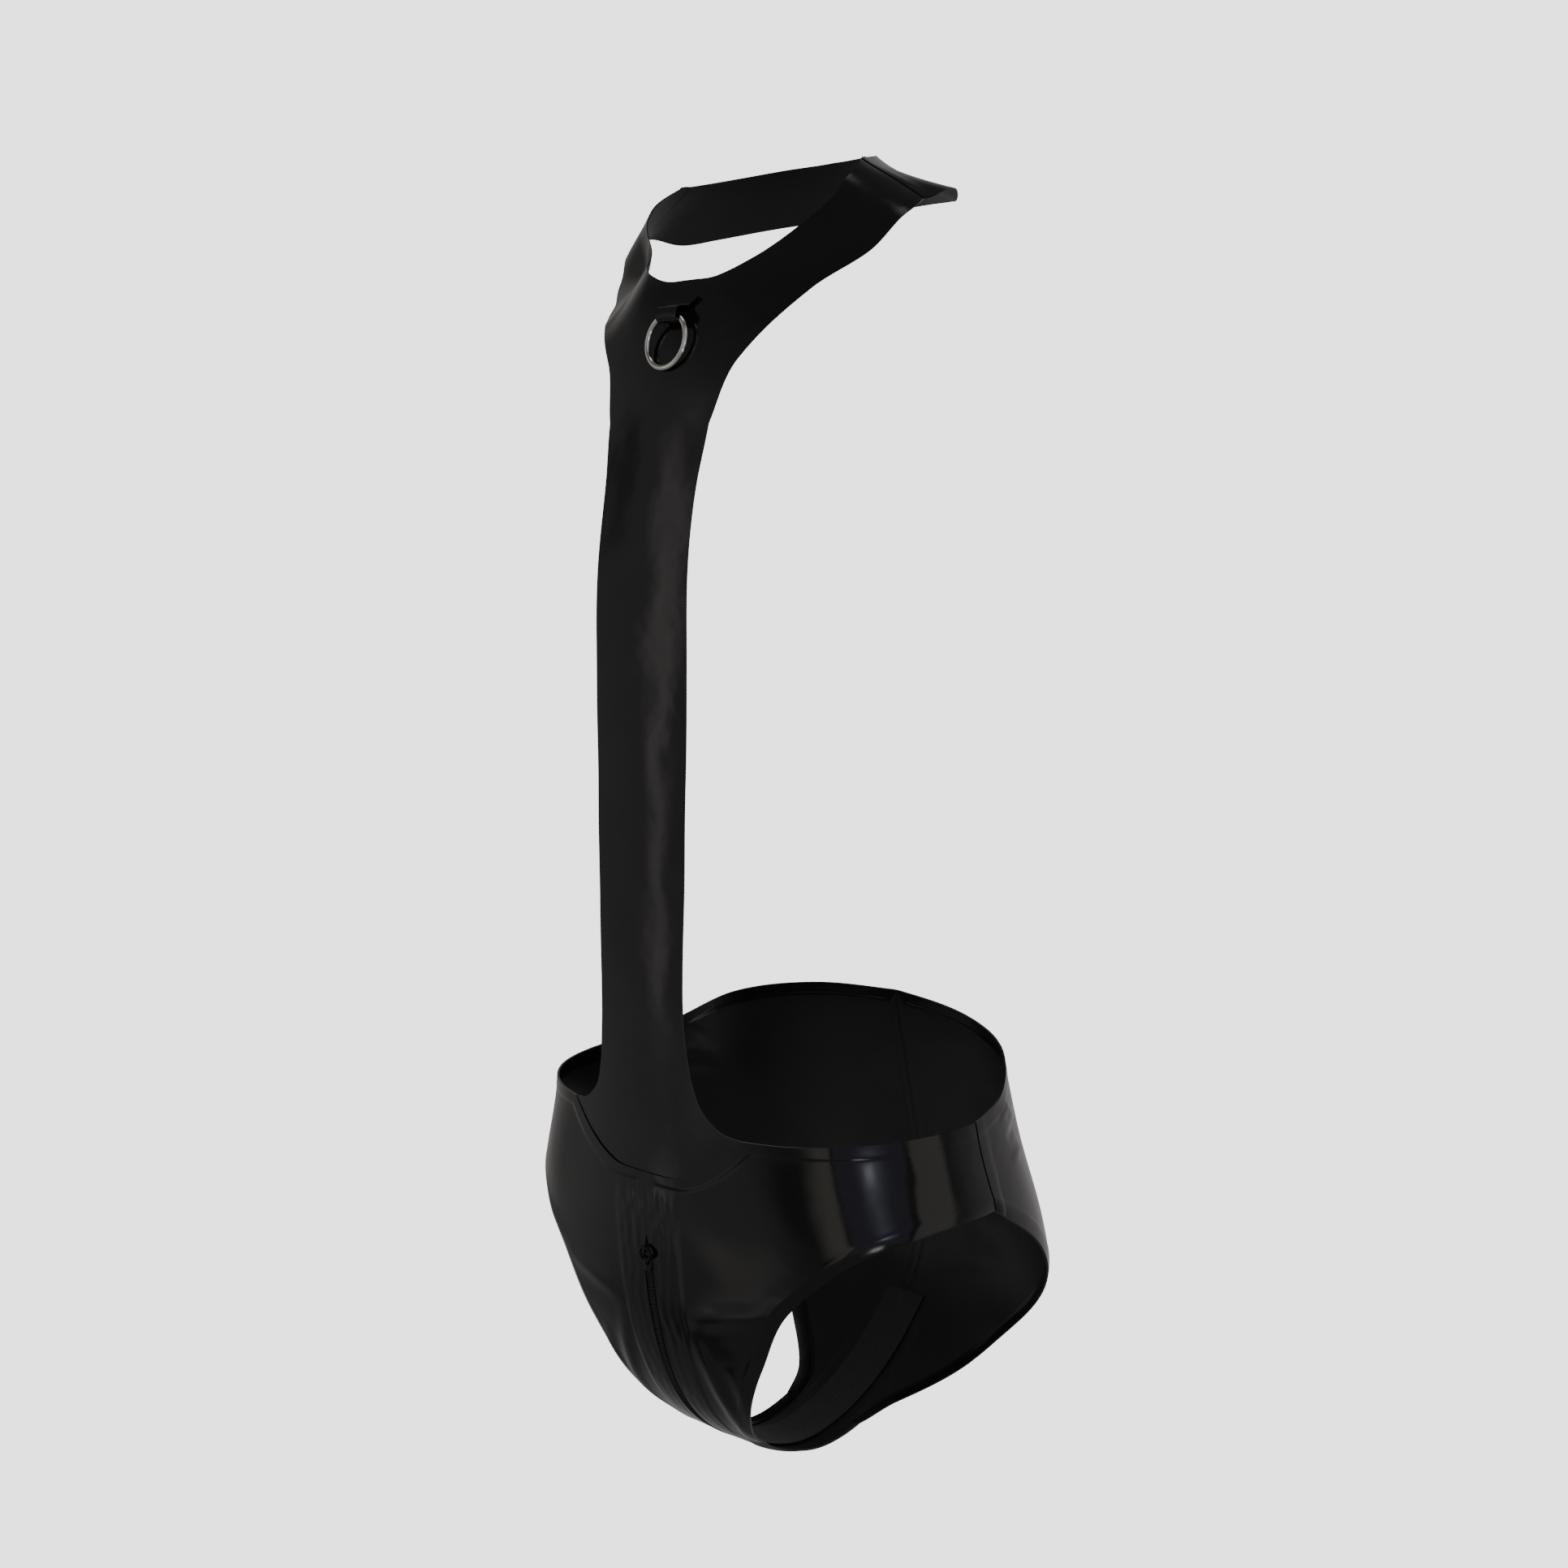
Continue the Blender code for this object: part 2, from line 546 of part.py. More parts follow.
def loop_mesh(name, centre, across_dir, along_dir, half_across, half_along, wire, material, steps, sides):
    """A bent round wire closed on itself in an oval."""
    turn = np.linspace(0.0, 2 * math.pi, steps, endpoint=False)[:, None]
    around = np.linspace(0.0, 2 * math.pi, sides, endpoint=False)[None, :]
    path = half_across * np.sin(turn) * across_dir + half_along * np.cos(turn) * along_dir
    ahead = half_across * np.cos(turn) * across_dir - half_along * np.sin(turn) * along_dir
    ahead = ahead / np.linalg.norm(ahead, axis=-1, keepdims=True)
    flat = np.cross(across_dir, along_dir)
    side = np.cross(ahead, flat)
    points = path[:, None, :] + wire * (np.cos(around)[..., None] * side[:, None, :]
                                        + np.sin(around)[..., None] * flat)
    index = np.arange(steps * sides).reshape(steps, sides)
    nxt, nxs = np.roll(index, -1, axis=0), np.roll(index, -1, axis=1)
    both = np.roll(nxt, -1, axis=1)
    faces = np.stack([index, nxt, both, nxs], axis=-1).reshape(-1, 4)
    points = points.reshape(-1, 3)
    if signed_volume(points, faces) < 0:
        faces = faces[:, FLIPPED]
    item = mesh_object(name, points, faces, material)
    item.location = centre
    return item


def make_pull(pivot, out, up, black):
    """The slider's small loop pull, standing up from its eye, with its parent on the hinge."""
    hinge = bpy.data.objects.new("pull_hinge", None)
    hinge.location = pivot
    bpy.context.scene.collection.objects.link(hinge)
    reach = PULL_LENGTH / 2 - PULL_WIRE
    lean = up - PULL_LEAN * out
    lean = lean / np.linalg.norm(lean)
    pull = loop_mesh("zip_pull", lean * reach, np.array([1.0, 0.0, 0.0]), lean,
                     PULL_WIDTH / 2 - PULL_WIRE, reach, PULL_WIRE, black, 28, 8)
    pull.parent = hinge


def make_ring(latex, steel):
    """The steel ring in its tab. It lies on the panel and swings about the tab's bore."""
    sag = RING_RADIUS - math.sqrt(RING_RADIUS**2 - TAB_HALF**2)
    seat = WALL + GAP
    depth = TAB_BORE + TAB_WALL
    pivot, out, up = local_frame(RING_TAPE, seat + depth)
    outer, bore = hollow_outline(np.zeros(2), depth, TAB_BORE, 24)
    climb = (outer[:, 1] / depth - TAB_SHOULDER) / (1 - TAB_SHOULDER)
    rising = climb > 0
    outer[:, 0] = np.where(rising, (outer[:, 0] + depth) * (1 - TAB_TAPER * climb) - depth, outer[:, 0])
    outer[:, 1] = np.where(rising, TAB_SHOULDER * depth + climb * TAB_REACH, outer[:, 1])
    eye("ring_tab", outer, bore, TAB_HALF, pivot, out, up, latex)
    low_tape = RING_TAPE - 2 * RING_RADIUS + sag / 2
    low_point, _, _ = local_frame(low_tape, seat + RING_WIRE)
    down = (low_point - pivot) / np.linalg.norm(low_point - pivot)
    hinge = bpy.data.objects.new("ring_hinge", None)
    hinge.location = pivot
    bpy.context.scene.collection.objects.link(hinge)
    ring = loop_mesh("ring", down * (RING_RADIUS - sag / 2), np.array([1.0, 0.0, 0.0]), down,
                     RING_RADIUS, RING_RADIUS, RING_WIRE, steel, 48, 12)
    ring.parent = hinge


def main():
    """Build the singlet."""
    clear_scene()
    latex = make_material("latex_black", (0.012, 0.012, 0.013), 0.18)
    steel = make_material("steel_polished", (0.75, 0.75, 0.76), 0.12, 1.0)
    coil_black = make_material("zip_coil_black", (0.02, 0.02, 0.02), 0.45)
    tape_black = make_material("zip_tape_black", (0.015, 0.015, 0.015), 0.85)
    slider_black = make_material("slider_black", (0.02, 0.02, 0.02), 0.30, 0.6)
    make_front_panel(latex)
    yoke, lift = yoke_grid()
    patch("back_yoke", yoke, 0.0, WALL, latex, lift)
    front, back = make_brief(latex)
    make_zip(front, back, coil_black, tape_black)
    pivot, out, up = make_slider(slider_black)
    make_pull(pivot, out, up, slider_black)
    make_ring(latex, steel)


main()
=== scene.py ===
"""Looks of the latex wrestling singlet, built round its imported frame.

The cloth lies on one smooth figure. A point on it has an angle and a tape length.
The angle is 0 at the centre front, 90 at the wearer's left and -90 at the wearer's right.
The tape runs up the centre front from the lowest point between the legs.
A negative tape runs up the centre back instead, with its angle counted from the centre back.
Each panel is a grid of such points, and its two skins stand off the figure along its normals.
"""

import json
import math

import bpy
import numpy as np
from bpy.props import FloatProperty, FloatVectorProperty, PointerProperty
from mathutils import Matrix, Vector


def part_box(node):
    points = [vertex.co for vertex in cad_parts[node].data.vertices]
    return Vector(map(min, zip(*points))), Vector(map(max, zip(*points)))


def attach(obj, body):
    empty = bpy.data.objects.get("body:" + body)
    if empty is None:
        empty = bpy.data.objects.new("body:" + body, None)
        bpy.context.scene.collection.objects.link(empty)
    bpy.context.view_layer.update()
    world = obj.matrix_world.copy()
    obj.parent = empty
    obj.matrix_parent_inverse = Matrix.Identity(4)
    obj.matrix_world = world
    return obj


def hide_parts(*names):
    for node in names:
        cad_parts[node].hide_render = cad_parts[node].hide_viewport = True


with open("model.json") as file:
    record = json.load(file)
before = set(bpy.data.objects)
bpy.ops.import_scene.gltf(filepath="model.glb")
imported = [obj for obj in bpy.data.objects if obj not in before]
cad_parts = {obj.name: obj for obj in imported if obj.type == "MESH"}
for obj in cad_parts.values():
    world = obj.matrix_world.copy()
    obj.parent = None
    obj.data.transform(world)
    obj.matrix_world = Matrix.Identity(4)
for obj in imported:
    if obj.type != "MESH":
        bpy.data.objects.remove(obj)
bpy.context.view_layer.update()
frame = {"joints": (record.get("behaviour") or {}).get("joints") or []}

bl_info = {
    "name": "Latex Wrestling Singlet",
    "version": (1, 0, 0),
    "blender": (4, 5, 0),
    "location": "3D View > Sidebar > Singlet",
    "description": "Builds the cloth, zip, ring and studio of a latex wrestling singlet",
    "category": "Object",
}

# The frame's own sizes, in metres
WALL = 0.0011
NECK_HEIGHT = 0.6550

# Level sections of the figure
SECTION_COLUMNS = ("tape", "height", "half_width", "centre_y", "front", "back", "squareness", "tilt")
SECTIONS = (
    (0.000, 0.0000, 0.1495, 0.0040, 0.0000, 0.0000, 0.00, -0.031),
    (0.030, 0.0068, 0.1495, 0.0040, 0.0300, 0.0300, 0.00, -0.034),
    (0.060, 0.0225, 0.1510, 0.0040, 0.0575, 0.0580, 0.00, -0.035),
    (0.090, 0.0462, 0.1525, 0.0040, 0.0770, 0.0830, 0.00, -0.031),
    (0.125, 0.0810, 0.1530, 0.0040, 0.0895, 0.1040, 0.02, -0.030),
    (0.175, 0.1300, 0.1435, 0.0025, 0.0950, 0.1030, 0.03, -0.021),
    (0.225, 0.1797, 0.1280, 0.0010, 0.0945, 0.0940, 0.03, -0.020),
    (0.285, 0.2395, 0.1210, -0.0010, 0.0970, 0.0850, 0.03, -0.015),
    (0.355, 0.3100, 0.1270, -0.0010, 0.0980, 0.0920, 0.03, -0.0125),
    (0.435, 0.3900, 0.1400, 0.0000, 0.0990, 0.1045, 0.03, -0.011),
    (0.505, 0.4600, 0.1560, 0.0000, 0.0985, 0.1155, 0.03, -0.009),
    (0.555, 0.5100, 0.1680, -0.0005, 0.0910, 0.1175, 0.02, 0.003),
    (0.600, 0.5545, 0.1680, -0.0035, 0.0795, 0.1140, 0.00, 0.017),
    (0.640, 0.5935, 0.1560, -0.0060, 0.0640, 0.1020, 0.00, 0.042),
    (0.670, 0.6205, 0.1235, -0.0075, 0.0480, 0.0785, 0.00, 0.066),
    (0.695, 0.6415, 0.0850, -0.0105, 0.0390, 0.0580, 0.00, 0.064),
    (0.720, 0.6600, 0.0550, -0.0150, 0.0345, 0.0465, 0.00, 0.056),
    (0.750, 0.6880, 0.0430, -0.0200, 0.0320, 0.0430, 0.00, 0.052),
)
ODD_COLUMNS = ("front", "back")
# Where the figure falls back beside the neck on the wearer's right
RECESS_DEPTH = 0.029
RECESS_TAPE = 0.657
RECESS_SPREAD = 0.028
RECESS_START = 0.032
RECESS_END = 0.085
TAPE_STEP = 0.0005
TAPE_BLUR = 0.006

# Cut edges of the left half. Columns: angle in degrees, tape in metres
LEG_EDGE_FRONT = ((10.6, -0.030), (10.4, 0.000), (10.8, 0.030), (13.2, 0.056), (17.2, 0.0780), (23.6, 0.1125),
                  (31.8, 0.1473), (49.7, 0.1765), (72.0, 0.1895), (96.4, 0.1945))
LEG_EDGE_BACK = ((10.6, -0.030), (14.0, -0.050), (24.5, -0.0790), (41.0, -0.1265), (62.5, -0.1680),
                 (83.6, -0.1945))
V_SEAM = ((0.0, 0.2045), (8.0, 0.2050), (13.0, 0.2095), (18.0, 0.2165), (22.0, 0.2235), (26.0, 0.2310))
WAIST_FRONT = ((26.0, 0.2310), (37.0, 0.2313), (60.0, 0.2335), (78.0, 0.2353), (95.0, 0.2375))
WAIST_BACK = ((0.0, -0.2740), (25.0, -0.2700), (51.0, -0.2600), (70.0, -0.2450), (85.0, -0.2375))
FILLET = ((26.0, 0.2310), (20.6, 0.2335), (16.0, 0.2430), (13.9, 0.2580))
# The front strap. Columns: height up the centre front, half width
STRAP = ((0.240, 0.0300), (0.310, 0.0312), (0.390, 0.0327), (0.460, 0.0325), (0.500, 0.0327), (0.530, 0.0355))
# Outer edge of the arms and the yoke, and the neck edge. Columns: angle in degrees, height
ARM_OUTER = ((16.2, 0.560), (30.0, 0.5898), (45.0, 0.6049), (60.0, 0.6195), (80.0, 0.6290))
YOKE_OUTER = ((80.0, 0.6290), (100.0, 0.6290), (125.0, 0.6330), (150.0, 0.6360), (180.0, 0.6370))
ARM_NECK = ((0.0, 0.5998), (7.0, 0.6003), (16.0, 0.6075), (30.0, 0.6215), (45.0, 0.6336), (60.0, 0.6432),
            (88.0, 0.6535))
YOKE_NECK = ((88.0, 0.6535), (120.0, 0.6580), (150.0, 0.6615), (180.0, 0.6625))
FLARE_TAPE = 0.262
CHEST_HEIGHT = 0.545
LIFT_HEIGHT = 0.0065
LIFT_ANGLE = 97.0
LIFT_SPREAD = 9.0

# Seams and zip
SLIT = 1.1
CLOSED = 0.015
SLIT_CLOSES = 0.172
COIL_TOP = 0.1590
ZIP_END_BACK = -0.088
CROTCH_SEAM = -0.030
SLIDER_TAPE = 0.1575
RING_TAPE = 0.6265
LAP_WIDTH = 0.0075
LEG_ROLL_WIDTH = 0.0088
ZIP_BAND = 0.0200

# Rows and columns of the visible panels
FLARE_ROWS = 26
STRAP_ROWS = 130
CHEST_ROWS = 26
NECK_ROWS = 80
YOKE_ROWS = 70
HALF_COLUMNS = 34
SLIT_ROWS = (14, 46, 40, 12, 22)
V_ROWS = 36
WAIST_ROWS = 80
BACK_ROWS = (34, 6, 80)
LEG_MARGIN = 0.0130
TOP_MARGIN = 0.0240
LEG_SHARES = (0.0, 0.08, 0.18, 0.30, 0.42, 0.50, 0.55, 0.60, 0.65, 0.72, 0.84, 1.0)
TOP_SHARES = (0.0, 0.03, 0.07, 0.12, 0.17, 0.22, 0.26, 0.29, 0.32, 0.35, 0.40, 0.46, 0.52, 0.58, 0.64, 0.70,
              0.76, 0.80, 0.84, 0.88, 0.94, 1.0)
MIDDLE_COLUMNS = 24

# Zip coil: a tooth and a stitch as lines of side, up and out distances
PITCH = 0.00118
TOOTH = ((0.00250, 0.0, -0.00020), (0.00252, 0.0, 0.00036), (0.00190, 0.0, 0.00072), (0.00090, 0.0, 0.00086),
         (-0.00010, 0.0, 0.00074), (-0.00048, 0.0, 0.00040))
TOOTH_RADIUS = 0.00034
STITCH = ((1e-6, -0.00052, 0.0), (1e-6, -0.0003, 0.00018), (1e-6, 0.0003, 0.00018), (1e-6, 0.00052, 0.0))
STITCH_RADIUS = 0.00012
# Zip tape: the width and the thickness of each half
TAPE_WIDTH = 0.0130
WEAVE_SHEET = 0.0005
# Slider plates, wedge and flanges. Columns: width, length, height, roundness, middle, narrowing, lean
SLIDER_PLATES = (
    (0.0078, 0.0104, 0.0011, 0.55, (0.0, 0.0, 0.00195), 0.72),
    (0.0066, 0.0098, 0.0009, 0.55, (0.0, 0.0, -0.00195), 0.78),
    (0.0015, 0.0020, 0.0040, 0.7, (0.0, 0.0040, 0.0), 1.0),
    (0.0012, 0.0088, 0.0012, 0.6, (0.0033, 0.0004, 0.00130), 1.0, -0.10),
    (0.0012, 0.0088, 0.0012, 0.6, (-0.0033, 0.0004, 0.00130), 1.0, 0.10),
)
# Bail of the slider: span, thickness, rise and middle
SLIDER_BAIL = (0.0044, 0.0015, 0.0015, (0.0, 0.0010, 0.0024))
PULL_WIRE = 0.00078
# Ring and tab: the wire, and the tab's axle height, bore, sheet, height and half width with its flare
RING_WIRE = 0.0014
TAB_AXLE = 0.0053
TAB_BORE = 0.0029
TAB_SHEET = 0.0005
TAB_HEIGHT = 0.0104
TAB_HALF = 0.0071
TAB_FLARE = 0.0047
# Trims: how far they lie under their panel, and the columns that they take from it
TRIM_INSET = 0.00003
LEG_TRIM_COLUMNS = 9
WAIST_TRIM_COLUMNS = 11
# Softness of the ridges' and the seams' edges, and the seam down the middle of the back
RIM_SOFTNESS = 0.0008
SEAM_SOFTNESS = 0.0006
BACK_SEAM_HALF = 0.0050
BACK_SEAM_RISE = 0.00022
GROOVE_HALF = 0.0010
GROOVE_DEPTH = 0.00030
# Rough radius of the yoke round the neck, and the angle in degrees from which an edge is sharp
YOKE_RADIUS = 0.075
SHARP_ANGLE = 40
# The wearer's left, and the places across each half of the panels in one piece
SIDEWAYS = np.array([1.0, 0.0, 0.0])
HALF_SHARE = np.linspace(0.0, 1.0, HALF_COLUMNS + 1)


def smooth(share):
    """A share clipped to 0 and 1, with level ends."""
    share = np.clip(share, 0.0, 1.0)
    return share**2 * (3 - 2 * share)


def unit(vectors):
    """The same directions at length 1."""
    return vectors / np.linalg.norm(vectors, axis=-1, keepdims=True)


def smooth_curve(knots, values, at):
    """Cubic Hermite curve through the values, with slopes read across each knot."""
    slope = np.empty_like(values)
    slope[1:-1] = (values[2:] - values[:-2]) / (knots[2:] - knots[:-2])
    slope[0] = (values[1] - values[0]) / (knots[1] - knots[0])
    slope[-1] = (values[-1] - values[-2]) / (knots[-1] - knots[-2])
    left = np.clip(np.searchsorted(knots, at, side="right") - 1, 0, len(knots) - 2)
    span = knots[left + 1] - knots[left]
    t = np.clip((at - knots[left]) / span, 0.0, 1.0)
    start = (2 * t**3 - 3 * t**2 + 1) * values[left] + (t**3 - 2 * t**2 + t) * span * slope[left]
    end = (3 * t**2 - 2 * t**3) * values[left + 1] + (t**3 - t**2) * span * slope[left + 1]
    return start + end


def blurred_sections():
    """Every column of the section table on a fine tape, averaged over a few millimetres by a bell."""
    rows = np.array(SECTIONS)
    tape = np.arange(-0.75, 0.75 + TAPE_STEP / 2, TAPE_STEP)
    reach = np.arange(-4 * TAPE_BLUR, 4 * TAPE_BLUR + TAPE_STEP / 2, TAPE_STEP)
    weight = np.exp(-((reach / TAPE_BLUR) ** 2) / 2)
    weight /= weight.sum()
    knots = np.concatenate([-rows[:0:-1, 0], rows[:, 0]])
    columns = {}
    for column, name in enumerate(SECTION_COLUMNS[1:], start=1):
        sign = -1.0 if name in ODD_COLUMNS else 1.0
        line = smooth_curve(knots, np.concatenate([sign * rows[:0:-1, column], rows[:, column]]), tape)
        padded = np.concatenate([np.full(len(reach) // 2, line[0]), line, np.full(len(reach) // 2, line[-1])])
        columns[name] = np.convolve(padded, weight, mode="valid")
    return tape, columns


FINE_TAPE, FINE_SECTIONS = blurred_sections()


def section_value(name, tape):
    """One column of the figure's sections at a tape length."""
    return np.interp(tape, FINE_TAPE, FINE_SECTIONS[name])


def recess(turn, reach, x):
    """How far the figure falls back beside the right of the neck: a smooth rise across, a bell upwards."""
    across_rise = smooth((-x - RECESS_START) / (RECESS_END - RECESS_START)) * (1 + np.cos(turn)) / 2
    return RECESS_DEPTH * across_rise * np.exp(-(((reach - RECESS_TAPE) / RECESS_SPREAD) ** 2))


def figure(angle, tape):
    """Point on the figure: a squared ellipse at each tape length, tilted sideways by a few degrees."""
    angle, tape = np.broadcast_arrays(np.asarray(angle, float), np.asarray(tape, float))
    side = np.where(angle < 0, -1.0, 1.0)
    turn = np.radians(np.where(tape < 0, side * 180.0 - angle, angle))
    reach = np.abs(tape)
    half, square = section_value("half_width", reach), section_value("squareness", reach)
    depth = np.where(np.cos(turn) > 0, section_value("front", reach), section_value("back", reach))
    x = half * (np.sin(turn) + square * np.sin(3 * turn)) / (1 - square)
    y = section_value("centre_y", reach) - depth * (np.cos(turn) - square * np.cos(3 * turn)) / (1 - square)
    y = y + recess(turn, reach, x)
    z = section_value("height", reach) + section_value("tilt", reach) * x - NECK_HEIGHT
    return np.stack([x, y, z], axis=-1)


def outward(angle, tape):
    """Unit normal of the figure, from its two tangents."""
    step_angle, step_tape = 0.6, 0.0020
    sideways = figure(angle + step_angle, tape) - figure(angle - step_angle, tape)
    up = figure(angle, tape + step_tape) - figure(angle, tape - step_tape)
    return unit(np.cross(sideways, up))


def tape_at(height):
    """Tape length up the centre front at a height."""
    tape = np.linspace(0.0, 0.75, 1501)
    return np.interp(height, section_value("height", tape), tape)


def distance_along(points):
    """Running length of a line of points, from 0 to 1."""
    steps = np.linalg.norm(np.diff(points, axis=0), axis=1)
    length = np.concatenate([[0.0], np.cumsum(steps)])
    return length / length[-1]


def edge(table, share):
    """Angle and tape at a share of the length of one smooth cut edge."""
    rows = np.array(table)
    knots = distance_along(figure(rows[:, 0], rows[:, 1]))
    fine = np.linspace(0.0, 1.0, 481)
    angle, tape = smooth_curve(knots, rows[:, 0], fine), smooth_curve(knots, rows[:, 1], fine)
    run = distance_along(figure(angle, tape))
    return np.stack([np.interp(share, run, angle), np.interp(share, run, tape)], axis=-1)


def by_height(table):
    """The same edge with each height turned into tape."""
    return [(angle, float(tape_at(height))) for angle, height in table]


def joined(tables, counts):
    """Sample several edges end to end, with a row on each corner, and give their lengths' shares."""
    parts = [edge(table, np.linspace(0.0, 1.0, count + 1)) for table, count in zip(tables, counts)]
    line = np.concatenate([parts[0]] + [part[1:] for part in parts[1:]])
    return line, distance_along(figure(line[:, 0], line[:, 1]))


def strap_angle(half_width, tape):
    """Angle at which the figure is a given distance from its middle."""
    half, square = section_value("half_width", tape), section_value("squareness", tape)
    turn = np.arcsin(half_width / half)
    for _ in range(6):
        turn = np.arcsin(half_width * (1 - square) / half - square * np.sin(3 * turn))
    return np.degrees(turn)


def soft_step(distance, place, softness):
    """1 below the place and 0 above it, with a soft shoulder between."""
    return 0.5 * (1.0 - np.tanh((distance - place) / softness))


def ripple(points, length, seed):
    """Sum of seven plane waves of about one length in seeded directions, from about -1 to 1."""
    draw = np.random.default_rng(seed)
    total = np.zeros(points.shape[:-1])
    for _ in range(7):
        way = draw.normal(size=3)
        way *= draw.uniform(0.7, 1.4) / np.linalg.norm(way) / length
        total += np.sin(2 * math.pi * (points @ way) + draw.uniform(0, 2 * math.pi))
    return total / 3.5


def fold(angle, tape, line, width, height):
    """Ridge of a bell section along a line of angles and tapes, fading at both ends."""
    here = figure(angle, tape)
    path = figure(*np.array(line, float).T)
    best = np.full(angle.shape, 1e9)
    along = np.zeros(angle.shape)
    length = np.linalg.norm(np.diff(path, axis=0), axis=1)
    run = np.concatenate([[0.0], np.cumsum(length)])
    for k in range(len(path) - 1):
        way = (path[k + 1] - path[k]) / length[k]
        t = np.clip((here - path[k]) @ way, 0.0, length[k])
        far = np.linalg.norm(here - path[k] - t[..., None] * way, axis=-1)
        nearer = far < best
        best = np.where(nearer, far, best)
        along = np.where(nearer, (run[k] + t) / run[-1], along)
    return height * np.exp(-((best / width) ** 2)) * np.sin(math.pi * np.clip(along, 0.0, 1.0)) ** 0.8


def new_object(name, points, faces, materials, indices=None):
    """A smooth-shaded object from points and faces, with its place in its mesh."""
    mesh = bpy.data.meshes.new(name)
    mesh.from_pydata(np.asarray(points).tolist(), [], np.asarray(faces).tolist())
    for material in materials:
        mesh.materials.append(material)
    if indices is not None:
        mesh.polygons.foreach_set("material_index", np.asarray(indices, np.int32))
    mesh.shade_smooth()
    mesh.set_sharp_from_angle(angle=math.radians(SHARP_ANGLE))
    item = bpy.data.objects.new(name, mesh)
    bpy.context.scene.collection.objects.link(item)
    return item


def grid_faces(rows, columns, closed=False):
    """Quads of a grid, which closes on itself where its last row meets its first."""
    index = np.arange(rows * columns).reshape(rows, columns)
    if closed:
        index = np.concatenate([index, index[:1]])
    quads = np.stack([index[:-1, :-1], index[:-1, 1:], index[1:, 1:], index[1:, :-1]], axis=-1)
    return quads.reshape(-1, 4)


def tube_faces(rows, columns, closed=False):
    """Quads of a grid whose columns close on themselves, and its rows too where it is closed."""
    index = np.arange(rows * columns).reshape(rows, columns)
    below = np.roll(index, -1, axis=0)
    quads = np.stack([index, below, np.roll(below, -1, axis=1), np.roll(index, -1, axis=1)], axis=-1)
    return quads[:rows if closed else rows - 1].reshape(-1, 4)


def rod_faces(rows, columns):
    """Quads of a tube, with a strip of quads across each end."""
    ends = []
    for ring in (np.arange(columns), np.arange(rows * columns)[:-columns - 1:-1]):
        ends += [[ring[k], ring[k + 1], ring[-2 - k], ring[-1 - k]] for k in range(columns // 2 - 1)]
    return np.concatenate([tube_faces(rows, columns), ends])


def outer_side(points, faces):
    """The faces turned so that their closed solid has a positive volume."""
    a, b, c, d = (points[faces[:, k]] for k in range(4))
    volume = np.einsum("ij,ij->", a, np.cross(b, c) + np.cross(c, d))
    return faces if volume > 0 else faces[:, ::-1]


def thickened(faces, count):
    """Faces of both skins and of the rim that joins them. The rim stands on the edges that one face has."""
    directed = np.concatenate([faces[:, [k, (k + 1) % 4]] for k in range(4)])
    key, reverse = directed @ [count, 1], directed @ [1, count]
    rim = directed[~np.isin(key, reverse)]
    sides = np.stack([rim[:, 1], rim[:, 0], rim[:, 0] + count, rim[:, 1] + count], axis=-1)
    return faces, faces[:, ::-1] + count, sides


def sheet_object(name, grid, faces, top, bottom, materials):
    """Closed thin sheet: two skins at their own heights off the figure, joined round the rim."""
    angle, tape = grid[..., 0].ravel(), grid[..., 1].ravel()
    base, out = figure(angle, tape), outward(angle, tape)
    points = np.concatenate([base + out * skin.ravel()[:, None] for skin in (top, bottom)])
    skins = thickened(faces, len(base))
    indices = np.repeat([0, len(materials) - 1, 0], [len(skin) for skin in skins])
    return new_object(name, points, outer_side(points, np.concatenate(skins)), materials, indices)


def on_side(grid, side):
    """The same patch on the wearer's left, or on the right with a side of -1."""
    return grid * np.array([side, 1.0])


def shoulder_lift(angle):
    """How far the outer edge stands off at the back of the shoulder: a bell round it, squared across."""
    return LIFT_HEIGHT * np.exp(-(((angle - LIFT_ANGLE) / LIFT_SPREAD) ** 2)) * HALF_SHARE**2


def between(inner, outer, share):
    """Grid of rows carried over from one edge to the other."""
    return inner[:, None, :] + (outer - inner)[:, None, :] * share[..., None]


def yoke_half():
    """Left half of the back yoke: rows from the shoulder seam to the centre back, neck edge to outer edge."""
    at = np.linspace(0, 1, YOKE_ROWS + 1)
    return between(edge(by_height(YOKE_NECK), at), edge(by_height(YOKE_OUTER), at), HALF_SHARE)


